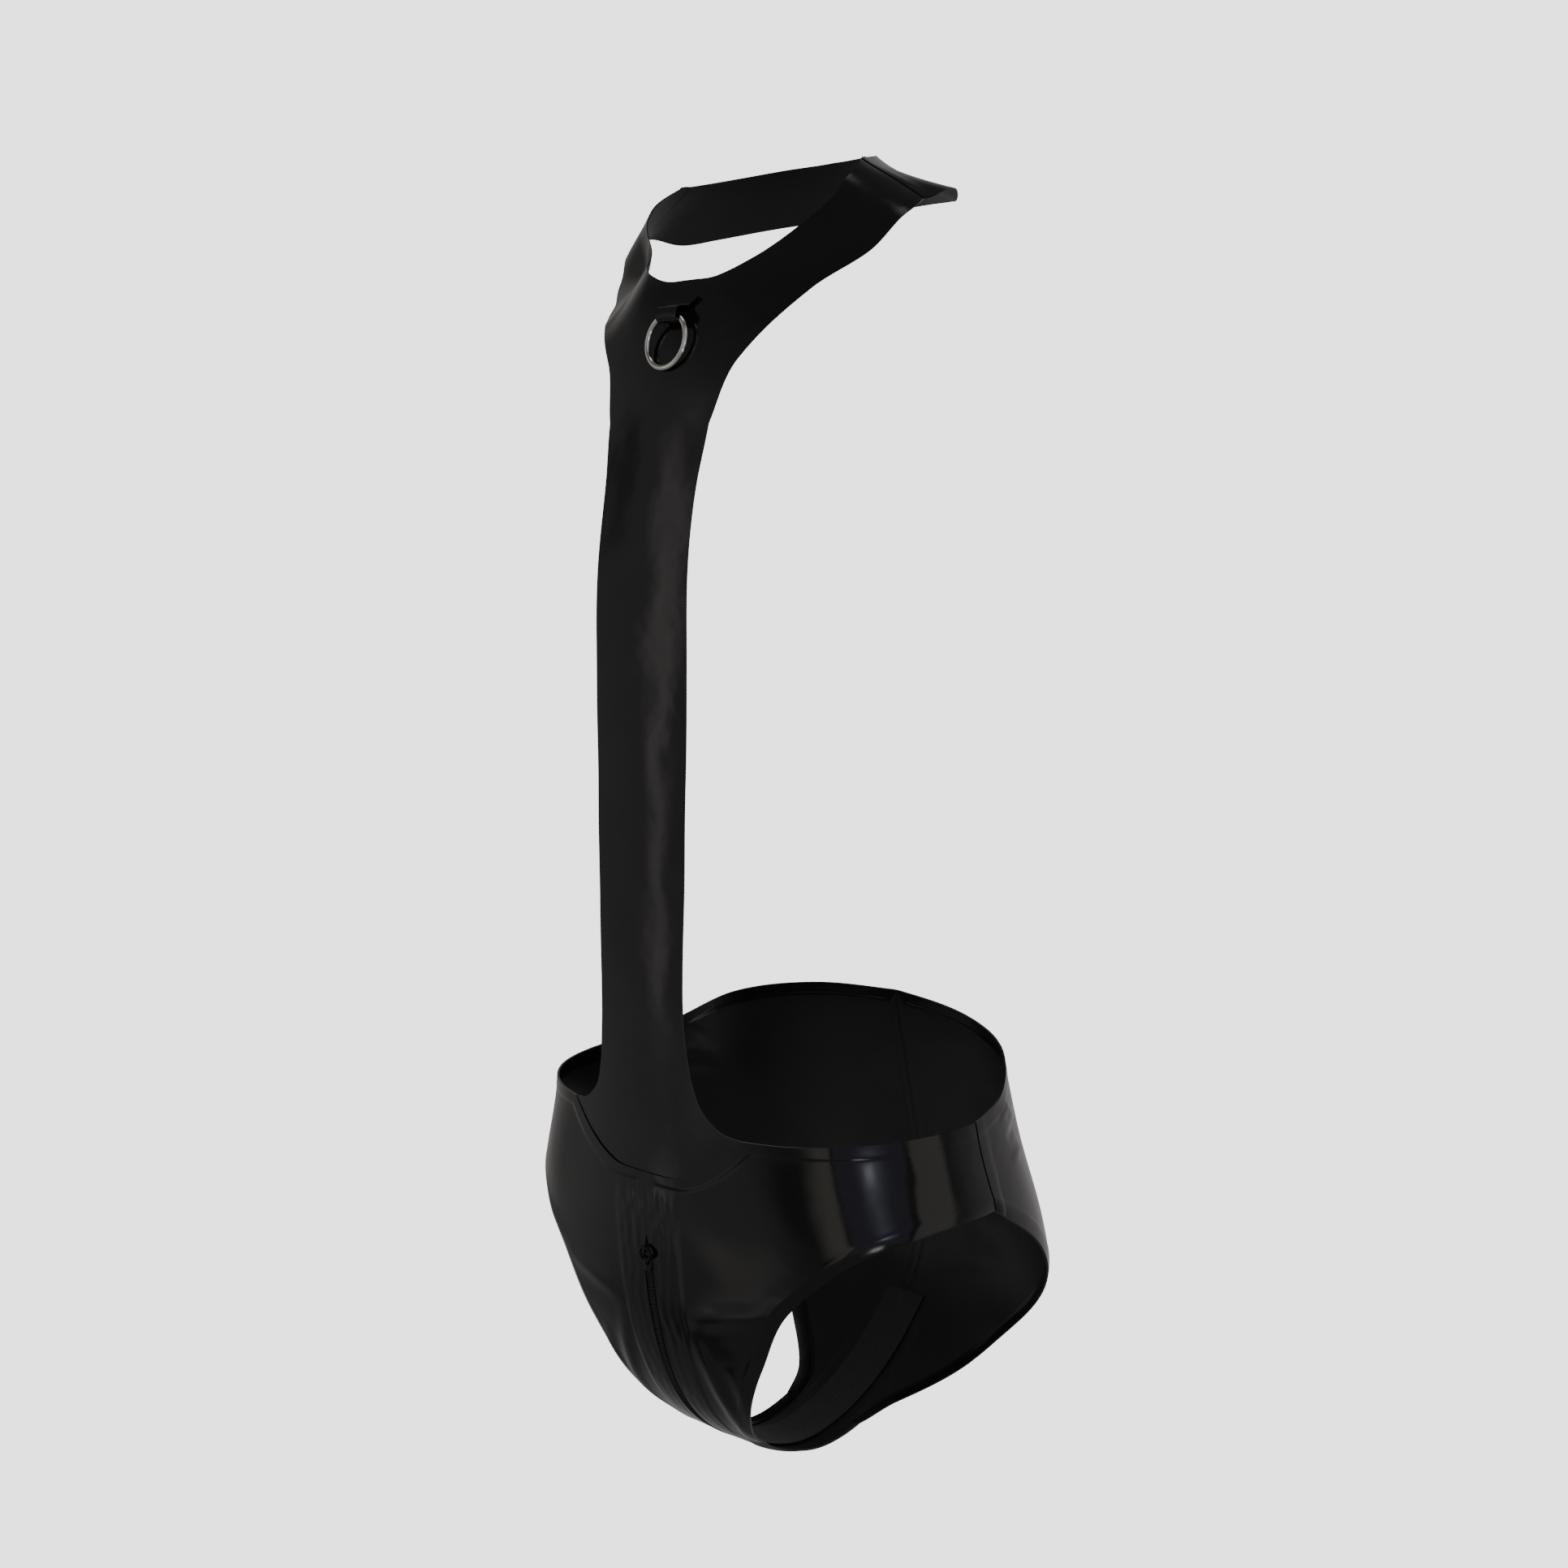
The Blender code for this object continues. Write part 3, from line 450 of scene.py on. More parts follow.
def front_half():
    """Left half of the front panel, from under the V seam up the strap and round to under the yoke."""
    heights = np.array(STRAP)
    tapes = tape_at(heights[:, 0])
    strap = list(zip(strap_angle(heights[:, 1], tapes), tapes))
    outer_tables = (FILLET, [FILLET[-1]] + strap, [strap[-1]] + by_height(ARM_OUTER))
    chest, neck = float(tape_at(CHEST_HEIGHT)), float(tape_at(ARM_NECK[0][1]))
    inner_tables = (((0.0, V_SEAM[0][1]), (0.0, FLARE_TAPE)), ((0.0, FLARE_TAPE), (0.0, chest)),
                    ((0.0, chest), (0.0, neck)), by_height(ARM_NECK))
    outer, _ = joined(outer_tables, (FLARE_ROWS, STRAP_ROWS, CHEST_ROWS + NECK_ROWS))
    inner, _ = joined(inner_tables, (FLARE_ROWS, STRAP_ROWS, CHEST_ROWS, NECK_ROWS))
    grid = between(inner, outer, HALF_SHARE)
    seam = edge(V_SEAM, np.linspace(0, 1, 241))
    bow = np.interp(grid[0, :, 0], seam[:, 0], seam[:, 1]) - grid[0, :, 1]
    fade = np.clip(1.0 - np.arange(len(grid)) / FLARE_ROWS, 0.0, 1.0) ** 1.5
    grid[..., 1] += fade[:, None] * bow
    hidden = np.repeat(grid[:1], 5, axis=0)
    hidden[..., 1] -= LAP_WIDTH * np.linspace(0.95, 0.15, 5)[:, None]
    return np.concatenate([hidden, grid, yoke_half()[1:4]])


def across(start, end):
    """Rows between two edges, with close columns near both, and each point's distance from them."""
    width = np.linalg.norm(figure(*end.T) - figure(*start.T), axis=1)[:, None]
    leg, top = np.minimum(LEG_MARGIN / width, 0.36), np.minimum(TOP_MARGIN / width, 0.60)
    middle = np.linspace(0.0, 1.0, MIDDLE_COLUMNS + 2)[1:-1]
    share = np.concatenate([leg * np.array(LEG_SHARES), leg + (1 - leg - top) * middle,
                            1 - top * np.array(TOP_SHARES)[::-1]], axis=1)
    return between(start, end, share), share * width, (1 - share) * width


def brief_front():
    """Left front of the brief: rows from the leg edge to the slit, then the V seam, then the waist."""
    corner = (CLOSED, V_SEAM[0][1])
    stops = ((SLIT, CROTCH_SEAM), (SLIT, 0.0), (SLIT, 0.09), (SLIT, COIL_TOP + 0.001), (CLOSED, SLIT_CLOSES),
             corner)
    tops = (*zip(stops, stops[1:]), (corner,) + V_SEAM[1:], WAIST_FRONT)
    top, share = joined(tops, SLIT_ROWS + (V_ROWS, WAIST_ROWS))
    return across(edge(LEG_EDGE_FRONT, share), top)


def brief_back():
    """Left back of the brief: rows from the crotch seam along the zip, the back seam and the waist."""
    corner = (CLOSED, WAIST_BACK[0][1])
    stops = ((SLIT, CROTCH_SEAM), (SLIT, ZIP_END_BACK), (CLOSED, ZIP_END_BACK - 0.010), corner)
    top, share = joined((*zip(stops, stops[1:]), (corner,) + WAIST_BACK[1:]), BACK_ROWS + (WAIST_ROWS,))
    return across(edge(LEG_EDGE_BACK, share), top)


def zip_pucker(angle, tape, side):
    """Band over the zip's tape, with upright puckers: a step off the figure and waves across the slit."""
    off = np.radians(np.abs(angle)) * section_value("half_width", np.abs(tape))
    inside = soft_step(off, ZIP_BAND, 0.0009) * soft_step(-tape, -ZIP_END_BACK, 0.003)
    sway = 1.7 * np.sin(95.0 * tape + 1.3 * side) + 0.8 * np.sin(231.0 * tape + 2.1 * side)
    waves = np.sin(2 * math.pi * off / 0.0062 + sway)
    waves += 0.6 * np.sin(2 * math.pi * off / 0.0101 - 1.4 * sway + side)
    upper = soft_step(-tape, -0.166, 0.012)
    room = soft_step(off, 0.0185, 0.002) * soft_step(-off, -0.0022, 0.0009)
    return inside * 0.00040 + inside * room * waves * (0.00004 + 0.00010 * upper)


# Creases of the wearer's left front. Columns: line of angle and tape, width, height
FRONT_FOLDS = (
    (((8.0, 0.130), (13.0, 0.136), (20.0, 0.141), (29.0, 0.146)), 0.0062, 0.0018),
    (((8.5, 0.126), (11.5, 0.106), (13.5, 0.084), (13.0, 0.050)), 0.0052, 0.0016),
    (((17.0, 0.112), (18.5, 0.096), (17.5, 0.078), (14.5, 0.050)), 0.0048, 0.0013),
    (((8.5, 0.060), (10.5, 0.040), (10.5, 0.015)), 0.0040, 0.0009),
    (((24.0, 0.146), (33.0, 0.158), (45.0, 0.166)), 0.0060, 0.0009),
)
BACK_FOLDS = (
    (((60.0, -0.232), (66.0, -0.238), (72.0, -0.236)), 0.0032, 0.0008),
    (((56.0, -0.222), (63.0, -0.227), (70.0, -0.224)), 0.0030, -0.0007),
    (((55.0, -0.212), (62.0, -0.216), (70.0, -0.213)), 0.0030, 0.0007),
    (((5.0, -0.120), (14.0, -0.128), (24.0, -0.134)), 0.0050, 0.0008),
    (((4.0, -0.140), (15.0, -0.152), (28.0, -0.158)), 0.0055, 0.0007),
)
# Creases of the front panel, on both sides of the neck. Columns as above
NECK_FOLDS = (
    (((-25.0, 0.622), (-22.5, 0.640), (-19.5, 0.662)), 0.0046, 0.0009),
    (((66.0, 0.668), (74.0, 0.674), (82.0, 0.676)), 0.0034, 0.0010),
)


def creases(table, grid, share=1.0):
    """All the folds of a table, added together."""
    angle, tape = grid[..., 0], grid[..., 1]
    return sum(fold(angle, tape, line, width, height * share) for line, width, height in table)


def feed(node, **inputs):
    """Give a node its inputs, by name or by number: a socket is linked and a value is set."""
    for key, value in inputs.items():
        key = key.replace("_", " ").strip()
        socket = node.inputs[int(key) if key.isdigit() else key]
        if isinstance(value, bpy.types.NodeSocket):
            node.id_data.links.new(value, socket)
        else:
            socket.default_value = value


def add_node(tree, kind, settings=None, **inputs):
    """A node with its settings and its inputs."""
    node = tree.nodes.new("ShaderNode" + kind)
    for key, value in (settings or {}).items():
        setattr(node, key, value)
    feed(node, **inputs)
    return node


def maths(tree, operation, *values):
    """One sum of values and sockets."""
    node = add_node(tree, "Math", {"operation": operation})
    feed(node, **{str(k): value for k, value in enumerate(values)})
    return node.outputs[0]


def object_place(tree):
    """Place in the object's own metres."""
    return add_node(tree, "TexCoord").outputs["Object"]


def noise(tree, place, **inputs):
    """Soft noise from 0 to 1."""
    return add_node(tree, "TexNoise", Vector=place, **inputs).outputs["Fac"]


def spread(tree, value, low, high):
    """A value from 0 to 1 carried over to another range."""
    return add_node(tree, "MapRange", Value=value, To_Min=low, To_Max=high).outputs["Result"]


def step_between(tree, value, start, end, smooth=False):
    """0 before the start and 1 past the end."""
    settings = {"interpolation_type": "SMOOTHSTEP"} if smooth else None
    return add_node(tree, "MapRange", settings, Value=value, From_Min=start, From_Max=end).outputs["Result"]


def relief_normal(tree, height, strength, distance):
    """Normal of a bump."""
    return add_node(tree, "Bump", Strength=strength, Distance=distance, Height=height).outputs["Normal"]


def scaled(tree, colour, amount):
    """A colour times a value."""
    return add_node(tree, "VectorMath", {"operation": "SCALE"}, _0=colour, Scale=amount).outputs[0]


def mixed_colour(tree, factor, first, second, blend="MIX"):
    """Two colours mixed by a factor."""
    settings = {"data_type": "RGBA", "blend_type": blend}
    return add_node(tree, "Mix", settings, Factor=factor, A=first, B=second).outputs["Result"]


def new_material(name):
    """A new node material, its tree and its Principled shader."""
    material = bpy.data.materials.new(name)
    material.use_nodes = True
    return material, material.node_tree, material.node_tree.nodes["Principled BSDF"]


def rubber_group():
    """Shared surface of sheet latex: a smear mask, its roughness and the height of its slight unevenness."""
    group = bpy.data.node_groups.new("sheet_latex_surface", "ShaderNodeTree")
    for socket, way, kind in (("Polish", "INPUT", "Float"), ("Smear", "INPUT", "Float"),
                              ("Tint", "INPUT", "Color"), ("Color", "OUTPUT", "Color"),
                              ("Roughness", "OUTPUT", "Float"), ("Height", "OUTPUT", "Float")):
        group.interface.new_socket(socket, in_out=way, socket_type="NodeSocket" + kind)
    taken = group.nodes.new("NodeGroupInput").outputs
    place = object_place(group)
    uneven = noise(group, place, Scale=38.0, Detail=2.0, Roughness=0.45)
    smear = noise(group, place, Scale=19.0, Detail=5.0, Distortion=0.8)
    speck = noise(group, place, Scale=900.0, Detail=1.0)
    wiped = step_between(group, smear, 0.45, 0.75)
    dust = maths(group, "MULTIPLY", wiped, 0.0035)
    feed(group.nodes.new("NodeGroupOutput"), Color=mixed_colour(group, 1.0, taken["Tint"], dust, "ADD"),
         Roughness=maths(group, "MULTIPLY_ADD", wiped, taken["Smear"], taken["Polish"]),
         Height=maths(group, "MULTIPLY_ADD", speck, 0.02, uneven))
    return group


def latex_material(name, group, tint, polish, smear, bump):
    """Sheet latex: the shared surface feeding colour, roughness and a slight bump."""
    material, tree, shader = new_material(name)
    node = add_node(tree, "Group", {"node_tree": group}, Tint=(*tint, 1.0), Polish=polish, Smear=smear)
    surface = node.outputs
    feed(shader, Base_Color=surface["Color"], Roughness=surface["Roughness"], IOR=1.50,
         Normal=relief_normal(tree, surface["Height"], 1.0, bump))
    return material


def steel_material(colour, roughness):
    """Polished steel: fine turning marks in its roughness and a faint bump."""
    material, tree, shader = new_material("ring_polished_steel")
    marks = noise(tree, object_place(tree), Scale=1400.0, Detail=3.0)
    feed(shader, Base_Color=(*colour, 1.0), Metallic=1.0, Normal=relief_normal(tree, marks, 0.2, 0.00004),
         Roughness=spread(tree, marks, roughness * 0.6, roughness * 1.6))
    return material


def coil_material(colour):
    """Black nylon of the zip's coil: slightly uneven gloss."""
    material, tree, shader = new_material("zip_coil_nylon")
    grain = noise(tree, object_place(tree), Scale=2600.0, Detail=2.0)
    feed(shader, Base_Color=(*colour, 1.0), Roughness=spread(tree, grain, 0.14, 0.34))
    return material


def tape_material(colour):
    """Woven zip tape: crossed yarns on the piece's own UV map, in metres."""
    material, tree, shader = new_material("zip_tape_weave")
    place = add_node(tree, "UVMap", {"uv_map": "cloth"}).outputs["UV"]
    waves = [add_node(tree, "TexWave", {"bands_direction": way}, Vector=place, Scale=scale, Distortion=0.4)
             for way, scale in (("X", 700.0), ("Y", 520.0))]
    yarn = maths(tree, "MULTIPLY", *(wave.outputs["Fac"] for wave in waves))
    feed(shader, Base_Color=scaled(tree, colour, spread(tree, yarn, 0.6, 1.5)), Roughness=0.85,
         Sheen_Weight=0.3, Normal=relief_normal(tree, yarn, 0.9, 0.00012))
    return material


def slider_material(colour):
    """Black lacquer on zinc: rubbed paler at the raised places."""
    material, tree, shader = new_material("slider_lacquer")
    cloud = noise(tree, object_place(tree), Scale=900.0, Detail=3.0)
    worn = step_between(tree, add_node(tree, "NewGeometry").outputs["Pointiness"], 0.55, 0.75)
    feed(shader, Base_Color=mixed_colour(tree, worn, (*colour, 1.0), (0.10, 0.10, 0.10, 1.0)), Metallic=0.4,
         Roughness=spread(tree, cloud, 0.20, 0.42))
    return material


class SingletCloth(bpy.types.PropertyGroup):
    """Sizes of the cloth."""

    sheet: FloatProperty(name="Sheet", description="Thickness of the latex sheet", default=0.00055,
                         unit="LENGTH", precision=5)
    trim_ridge: FloatProperty(name="Trim ridge", description="How far a hidden trim lifts the panel",
                              default=0.00024, unit="LENGTH", precision=5)
    lap_step: FloatProperty(name="Lap step", description="How far a lapped edge stands off",
                            default=0.00044, unit="LENGTH", precision=5)
    leg_roll: FloatProperty(name="Leg roll", description="How far the leg edges turn in towards the leg",
                            default=0.0014, unit="LENGTH", precision=5)
    unevenness: FloatProperty(name="Unevenness", description="Height of the sheet's slow waves",
                              default=0.00020, unit="LENGTH", precision=5)


class SingletFinish(bpy.types.PropertyGroup):
    """Colours and gloss."""

    latex: FloatVectorProperty(name="Latex", description="Colour of the latex", subtype="COLOR",
                               default=(0.0065, 0.0063, 0.0066))
    polish: FloatProperty(name="Polish", description="Roughness of the latex", default=0.085, min=0.0, max=1.0)
    steel: FloatVectorProperty(name="Steel", description="Colour of the ring", subtype="COLOR",
                               default=(0.95, 0.93, 0.90))
    steel_polish: FloatProperty(name="Steel polish", description="Roughness of the ring", default=0.10,
                                min=0.0, max=1.0)
    zip_black: FloatVectorProperty(name="Zip", description="Colour of the coil, tape and slider",
                                   subtype="COLOR", default=(0.010, 0.010, 0.010))


class SingletStudio(bpy.types.PropertyGroup):
    """Floor and light."""

    floor: FloatVectorProperty(name="Floor", description="Colour of the floor", subtype="COLOR",
                               default=(0.88, 0.88, 0.88))
    floor_height: FloatProperty(name="Floor height", description="Height of the floor", default=-0.86,
                                unit="LENGTH")
    fill: FloatProperty(name="Fill", description="Brightness of the dim side of the studio", default=0.10)
    panels: FloatProperty(name="Panels", description="Brightness of the soft panels of light", default=1.0)
    backdrop: FloatProperty(name="Backdrop", description="Brightness behind the object", default=2.6)


MADE_MATERIALS = {}


def finish_of(name):
    """One of the object's materials, made at its first use from the finish settings."""
    if not MADE_MATERIALS:
        finish = bpy.context.scene.singlet_finish
        rubber = rubber_group()
        latex, black = tuple(finish.latex), tuple(finish.zip_black)
        MADE_MATERIALS.update(
            latex=latex_material("latex_polished", rubber, latex, finish.polish, 0.10, 0.00035),
            inside=latex_material("latex_inside", rubber, tuple(2.2 * c for c in latex), 0.42, 0.16, 0.00025),
            trim=latex_material("latex_trim", rubber, latex, 0.24, 0.12, 0.0002),
            steel=steel_material(tuple(finish.steel), finish.steel_polish),
            coil=coil_material(black),
            tape=tape_material(black),
            slider=slider_material(black),
        )
    return MADE_MATERIALS[name]


def stand_for(item, node, body="garment"):
    """Ride on the body and stand for the node, which is hidden."""
    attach(item, body)
    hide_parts(node)


def dress(name, grid, top, thickness, looks=("latex", "inside"), faces=None, closed=False):
    faces = grid_faces(*grid.shape[:2], closed) if faces is None else faces
    item = sheet_object(name, grid, faces, top, top - thickness, [finish_of(look) for look in looks])
    node = name.rsplit("_", 1)[0]
    stand_for(item, node)
    return item


def upper_waves(cloth, grid):
    """Slow waves of the front panel and the yoke."""
    place = figure(grid[..., 0], grid[..., 1])
    return cloth.unevenness * (ripple(place, 0.055, 11) + 1.6 * ripple(place, 0.120, 12))


class SINGLET_OT_front_panel(bpy.types.Operator):
    """Build the front panel: flare, strap and the two arms to the shoulder seams"""

    bl_idname = "singlet.front_panel"
    bl_label = "Front Panel"

    def execute(self, context):
        cloth = context.scene.singlet_cloth
        half = front_half()
        count = half.shape[0] * half.shape[1]
        grid = np.concatenate([half.reshape(-1, 2), on_side(half, -1.0).reshape(-1, 2)])
        lift = np.tile(shoulder_lift(half[..., 0]).ravel(), 2)
        faces = grid_faces(*half.shape[:2])
        faces = np.concatenate([faces, faces[:, ::-1] + count])
        centre = np.nonzero(half[:, 0, 0] == 0.0)[0] * half.shape[1]
        target = np.arange(len(grid))
        target[centre + count] = centre
        kept = np.unique(target)
        faces, grid = np.searchsorted(kept, target[faces]), grid[kept]
        relief = upper_waves(cloth, grid) + creases(NECK_FOLDS, grid)
        dress("front_panel_sheet", grid, WALL + lift[kept] + relief, cloth.sheet,
              faces=faces)
        return {"FINISHED"}


class SINGLET_OT_back_yoke(bpy.types.Operator):
    """Build the back yoke, lapped over the arms at both shoulder seams"""

    bl_idname = "singlet.back_yoke"
    bl_label = "Back Yoke"

    def execute(self, context):
        cloth = context.scene.singlet_cloth
        half = yoke_half()
        other = on_side(half[-2::-1], -1.0) + np.array([360.0, 0.0])
        grid = np.concatenate([half, other])
        nearest = np.minimum(grid[..., 0], 360.0 - grid[..., 0])
        from_seam = np.radians(nearest - nearest[:1]) * YOKE_RADIUS
        lap = (cloth.lap_step + 0.00004) * soft_step(from_seam, LAP_WIDTH, 0.0007)
        top = WALL + shoulder_lift(nearest) + lap + upper_waves(cloth, grid)
        dress("back_yoke_sheet", grid, top, cloth.sheet)
        return {"FINISHED"}


def soft_rows(count, start, end, blur):
    """1 on the rows from the start to the end and 0 elsewhere, averaged over a few rows."""
    rows = np.arange(count)
    inside = ((rows >= start) & (rows < end)).astype(float)
    return np.convolve(inside, np.ones(blur) / blur, "same")[:, None]


def brief_relief(cloth, grid, leg_far, top_far, side, v_rows):
    """Trim ridges, the lap on the V seam, the zip's band and slow waves, added together."""
    angle, tape = grid[..., 0], grid[..., 1]
    ridge = cloth.trim_ridge * soft_step(leg_far, LAP_WIDTH, RIM_SOFTNESS)
    ridge -= cloth.leg_roll * np.clip(1.0 - leg_far / LEG_ROLL_WIDTH, 0.0, 1.0) ** 2
    seam, waist = soft_rows(len(grid), *v_rows, 7), soft_rows(len(grid), v_rows[1], len(grid), 7)
    near_top = soft_step(top_far, LAP_WIDTH, RIM_SOFTNESS)
    ridge += near_top * (seam * cloth.lap_step + waist * cloth.trim_ridge)
    ridge += zip_pucker(angle, tape, side) * soft_step(tape, V_SEAM[0][1] - 0.011, 0.0045)
    turned = figure(angle * side, tape)
    return ridge + cloth.unevenness * (ripple(turned, 0.050, 21) + 1.5 * ripple(turned, 0.110, 22))


class SINGLET_OT_brief(bpy.types.Operator):
    """Build the four panels of the brief with the trims inside their leg and waist edges"""

    bl_idname = "singlet.brief"
    bl_label = "Brief"

    def execute(self, context):
        cloth = context.scene.singlet_cloth
        front, *front_far = brief_front()
        back, *back_far = brief_back()
        under, v_start = back[::-1][1:8], sum(SLIT_ROWS)
        for name, side, creased in (("left", 1.0, 1.0), ("right", -1.0, 0.7)):
            relief = brief_relief(cloth, front, *front_far, side, (v_start, v_start + V_ROWS))
            relief += creases(FRONT_FOLDS, front, creased)
            top = WALL + np.concatenate([relief, np.repeat(relief[-1:], len(under), axis=0)])
            whole = on_side(np.concatenate([front, under]), side)
            dress(f"brief_front_{name}_sheet", whole, top, cloth.sheet)
            behind = self.behind(cloth, back, back_far, side, relief)
            dress(f"brief_back_{name}_sheet", on_side(back, side), WALL + behind, cloth.sheet)
            self.trims(cloth, name, side, front, back, relief, behind)
        return {"FINISHED"}

    def behind(self, cloth, back, back_far, side, relief):
        """Relief of a back panel: its waist, creases and middle seam, and its lap over the front."""
        behind = brief_relief(cloth, back, *back_far, side, (len(back), len(back)))
        waist = soft_rows(len(back), sum(BACK_ROWS) + 1, len(back), 5)
        behind += waist * cloth.trim_ridge * soft_step(back_far[1], LAP_WIDTH, SEAM_SOFTNESS)
        behind += creases(BACK_FOLDS, back)
        place = figure(back[..., 0], back[..., 1])
        middle = np.abs(place[..., 0])
        seamed = soft_step(middle, BACK_SEAM_HALF, SEAM_SOFTNESS)
        seamed = seamed * soft_step(back[..., 1], ZIP_END_BACK - 0.014, 0.003)
        behind += BACK_SEAM_RISE * seamed - GROOVE_DEPTH * seamed * np.exp(-((middle / GROOVE_HALF) ** 2))
        lap = soft_step(np.linalg.norm(place - place[-1], axis=-1), LAP_WIDTH, SEAM_SOFTNESS)
        return behind * (1 - lap) + (relief[-1:] + cloth.lap_step) * lap

    def trims(self, cloth, name, side, front, back, relief, behind):
        """The leg trim is closed round the leg, and the waist trim runs from the V seam to the back."""
        rows = WAIST_ROWS + 1
        leg, waist = slice(0, LEG_TRIM_COLUMNS), slice(-WAIST_TRIM_COLUMNS, None)
        for trim, ahead, after, columns in (("leg", slice(None), slice(None), leg),
                                            ("waist", slice(-rows, None), slice(0, rows), waist)):
            grid, rise = (np.concatenate([one[ahead, columns], other[::-1][after, columns]])
                          for one, other in ((front, back), (relief, behind)))
            top = WALL - cloth.sheet - TRIM_INSET + rise
            dress(f"{trim}_trim_{name}_strip", on_side(grid, side), top, cloth.sheet,
                  ("trim",), closed=trim == "leg")


def local_frame(tape, height):
    """Points above the centre front, with their out and up directions."""
    tape = np.asarray(tape, float)
    out = outward(0.0 * tape, tape)
    up = unit(figure(0.0 * tape, tape + 0.001) - figure(0.0 * tape, tape - 0.001))
    return figure(0.0 * tape, tape) + out * height, out, up


def hook_rod(profile, radius, turn):
    """Round section carried along a bent profile, thinner at both ends."""
    along = unit(np.gradient(profile, axis=0))
    first = unit(np.cross(along, [0.0, 1.0, 0.0]))
    second = np.cross(along, first)
    taper = np.array([0.35] + [1.0] * (len(profile) - 2) + [0.35])[:, None, None]
    section = np.cos(turn) * first[:, None] + np.sin(turn) * second[:, None]
    return profile[:, None] + radius * taper * section


def copies(starts, basis, rod):
    """The same rod at every start, in each start's own directions."""
    points = starts[:, None] + np.einsum("ps,nsc->npc", rod.reshape(-1, 3), basis)
    one = outer_side(points[0], rod_faces(*rod.shape[:2]))
    faces = one + points.shape[1] * np.arange(len(starts))[:, None, None]
    return points.reshape(-1, 3), faces.reshape(-1, 4)


def gathered(parts):
    """Several lots of points and faces as one."""
    offsets = np.cumsum([0] + [len(points) for points, _ in parts])
    faces = [quads + offset for (_, quads), offset in zip(parts, offsets)]
    return np.concatenate([points for points, _ in parts]), np.concatenate(faces)


class SINGLET_OT_zip(bpy.types.Operator):
    """Build the zip: two woven tapes, the meshed coil with its stitches, the slider and its loop"""

    bl_idname = "singlet.zip"
    bl_label = "Zip"

    def execute(self, context):
        self.tapes(context.scene.singlet_cloth)
        self.coil()
        self.slider()
        self.pull()
        return {"FINISHED"}

    def tapes(self, cloth):
        """Each tape: rows along the slit, columns out from its middle, under the panels."""
        off, tape = np.meshgrid(0.00003 + np.linspace(0.0, 1.0, 9) * TAPE_WIDTH,
                                np.linspace(ZIP_END_BACK - 0.016, V_SEAM[0][1] - 0.002, 200))
        angle = np.degrees(np.arcsin(off / section_value("half_width", np.abs(tape))))
        grid = np.stack([angle, tape], axis=-1)
        low = WALL - cloth.sheet - 0.00012
        under = np.minimum(low + zip_pucker(np.maximum(angle, SLIT), tape, 1.0) * 0.6, low) - 0.0001
        flat = np.tile(np.stack([off.ravel(), tape.ravel()], axis=-1), (2, 1))
        for name, side in (("left", 1.0), ("right", -1.0)):
            item = dress(f"zip_tape_{name}_weave", on_side(grid, side), under, WEAVE_SHEET,
                         ("tape",))
            layer = item.data.uv_layers.new(name="cloth")
            loops = np.empty(len(item.data.loops), np.int64)
            item.data.loops.foreach_get("vertex_index", loops)
            layer.data.foreach_set("uv", flat[loops].astype(np.float32).ravel())

    def coil(self):
        """Teeth on both sides, half a pitch apart, each a rod bent like a hook, and two rows of stitches."""
        tape = np.arange(ZIP_END_BACK, COIL_TOP - 0.002, PITCH)
        turn = np.linspace(0, 2 * math.pi, 6, endpoint=False)[:, None]
        tooth = hook_rod(np.array(TOOTH), TOOTH_RADIUS, turn)
        section = np.concatenate([np.cos(turn), 0 * turn, np.sin(turn)], axis=1) * STITCH_RADIUS
        stitch = np.array(STITCH)[:, None] + section
        parts = []
        for side, shift in ((1.0, 0.0), (-1.0, PITCH / 2)):
            start, out, up = local_frame(tape + shift, 0.00070)
            sideways = np.tile([side, 0.0, 0.0], (len(tape), 1))
            basis = np.stack([sideways, up, out], axis=1)
            parts.append(copies(start, basis, tooth))
            parts.append(copies(start + sideways * 0.00170 + out * 0.00090, basis, stitch))
        item = new_object("zip_coil_teeth", *gathered(parts), (finish_of("coil"),))
        stand_for(item, "zip_coil")

    def slider(self):
        """Upper and lower plates with bent flanges, the wedge between them and the arched bail on top."""
        origin, out, up = local_frame(SLIDER_TAPE, 0.0)
        parts = []
        for local, quads in [slab(*row) for row in SLIDER_PLATES] + [arch(*SLIDER_BAIL)]:
            place = origin + local @ np.stack([SIDEWAYS, up, out])
            parts.append((place, outer_side(place, quads)))
        item = new_object("zip_slider_body", *gathered(parts), (finish_of("slider"),))
        stand_for(item, "zip_slider")

    def pull(self):
        """The loop: a round wire bent to an oval that stands up from the bail."""
        centre, half_across, rise = hung("zip_pull")
        half_along = np.linalg.norm(rise)
        points, faces = hoop(centre, rise / half_along, half_across, half_along, PULL_WIRE, 96, 20)
        item = new_object("zip_pull_loop", points, outer_side(points, faces), (finish_of("slider"),))
        stand_for(item, "zip_pull", "zip_pull")


def powered(value, power):
    """A value raised to a power with its sign kept."""
    return np.sign(value) * np.abs(value) ** power


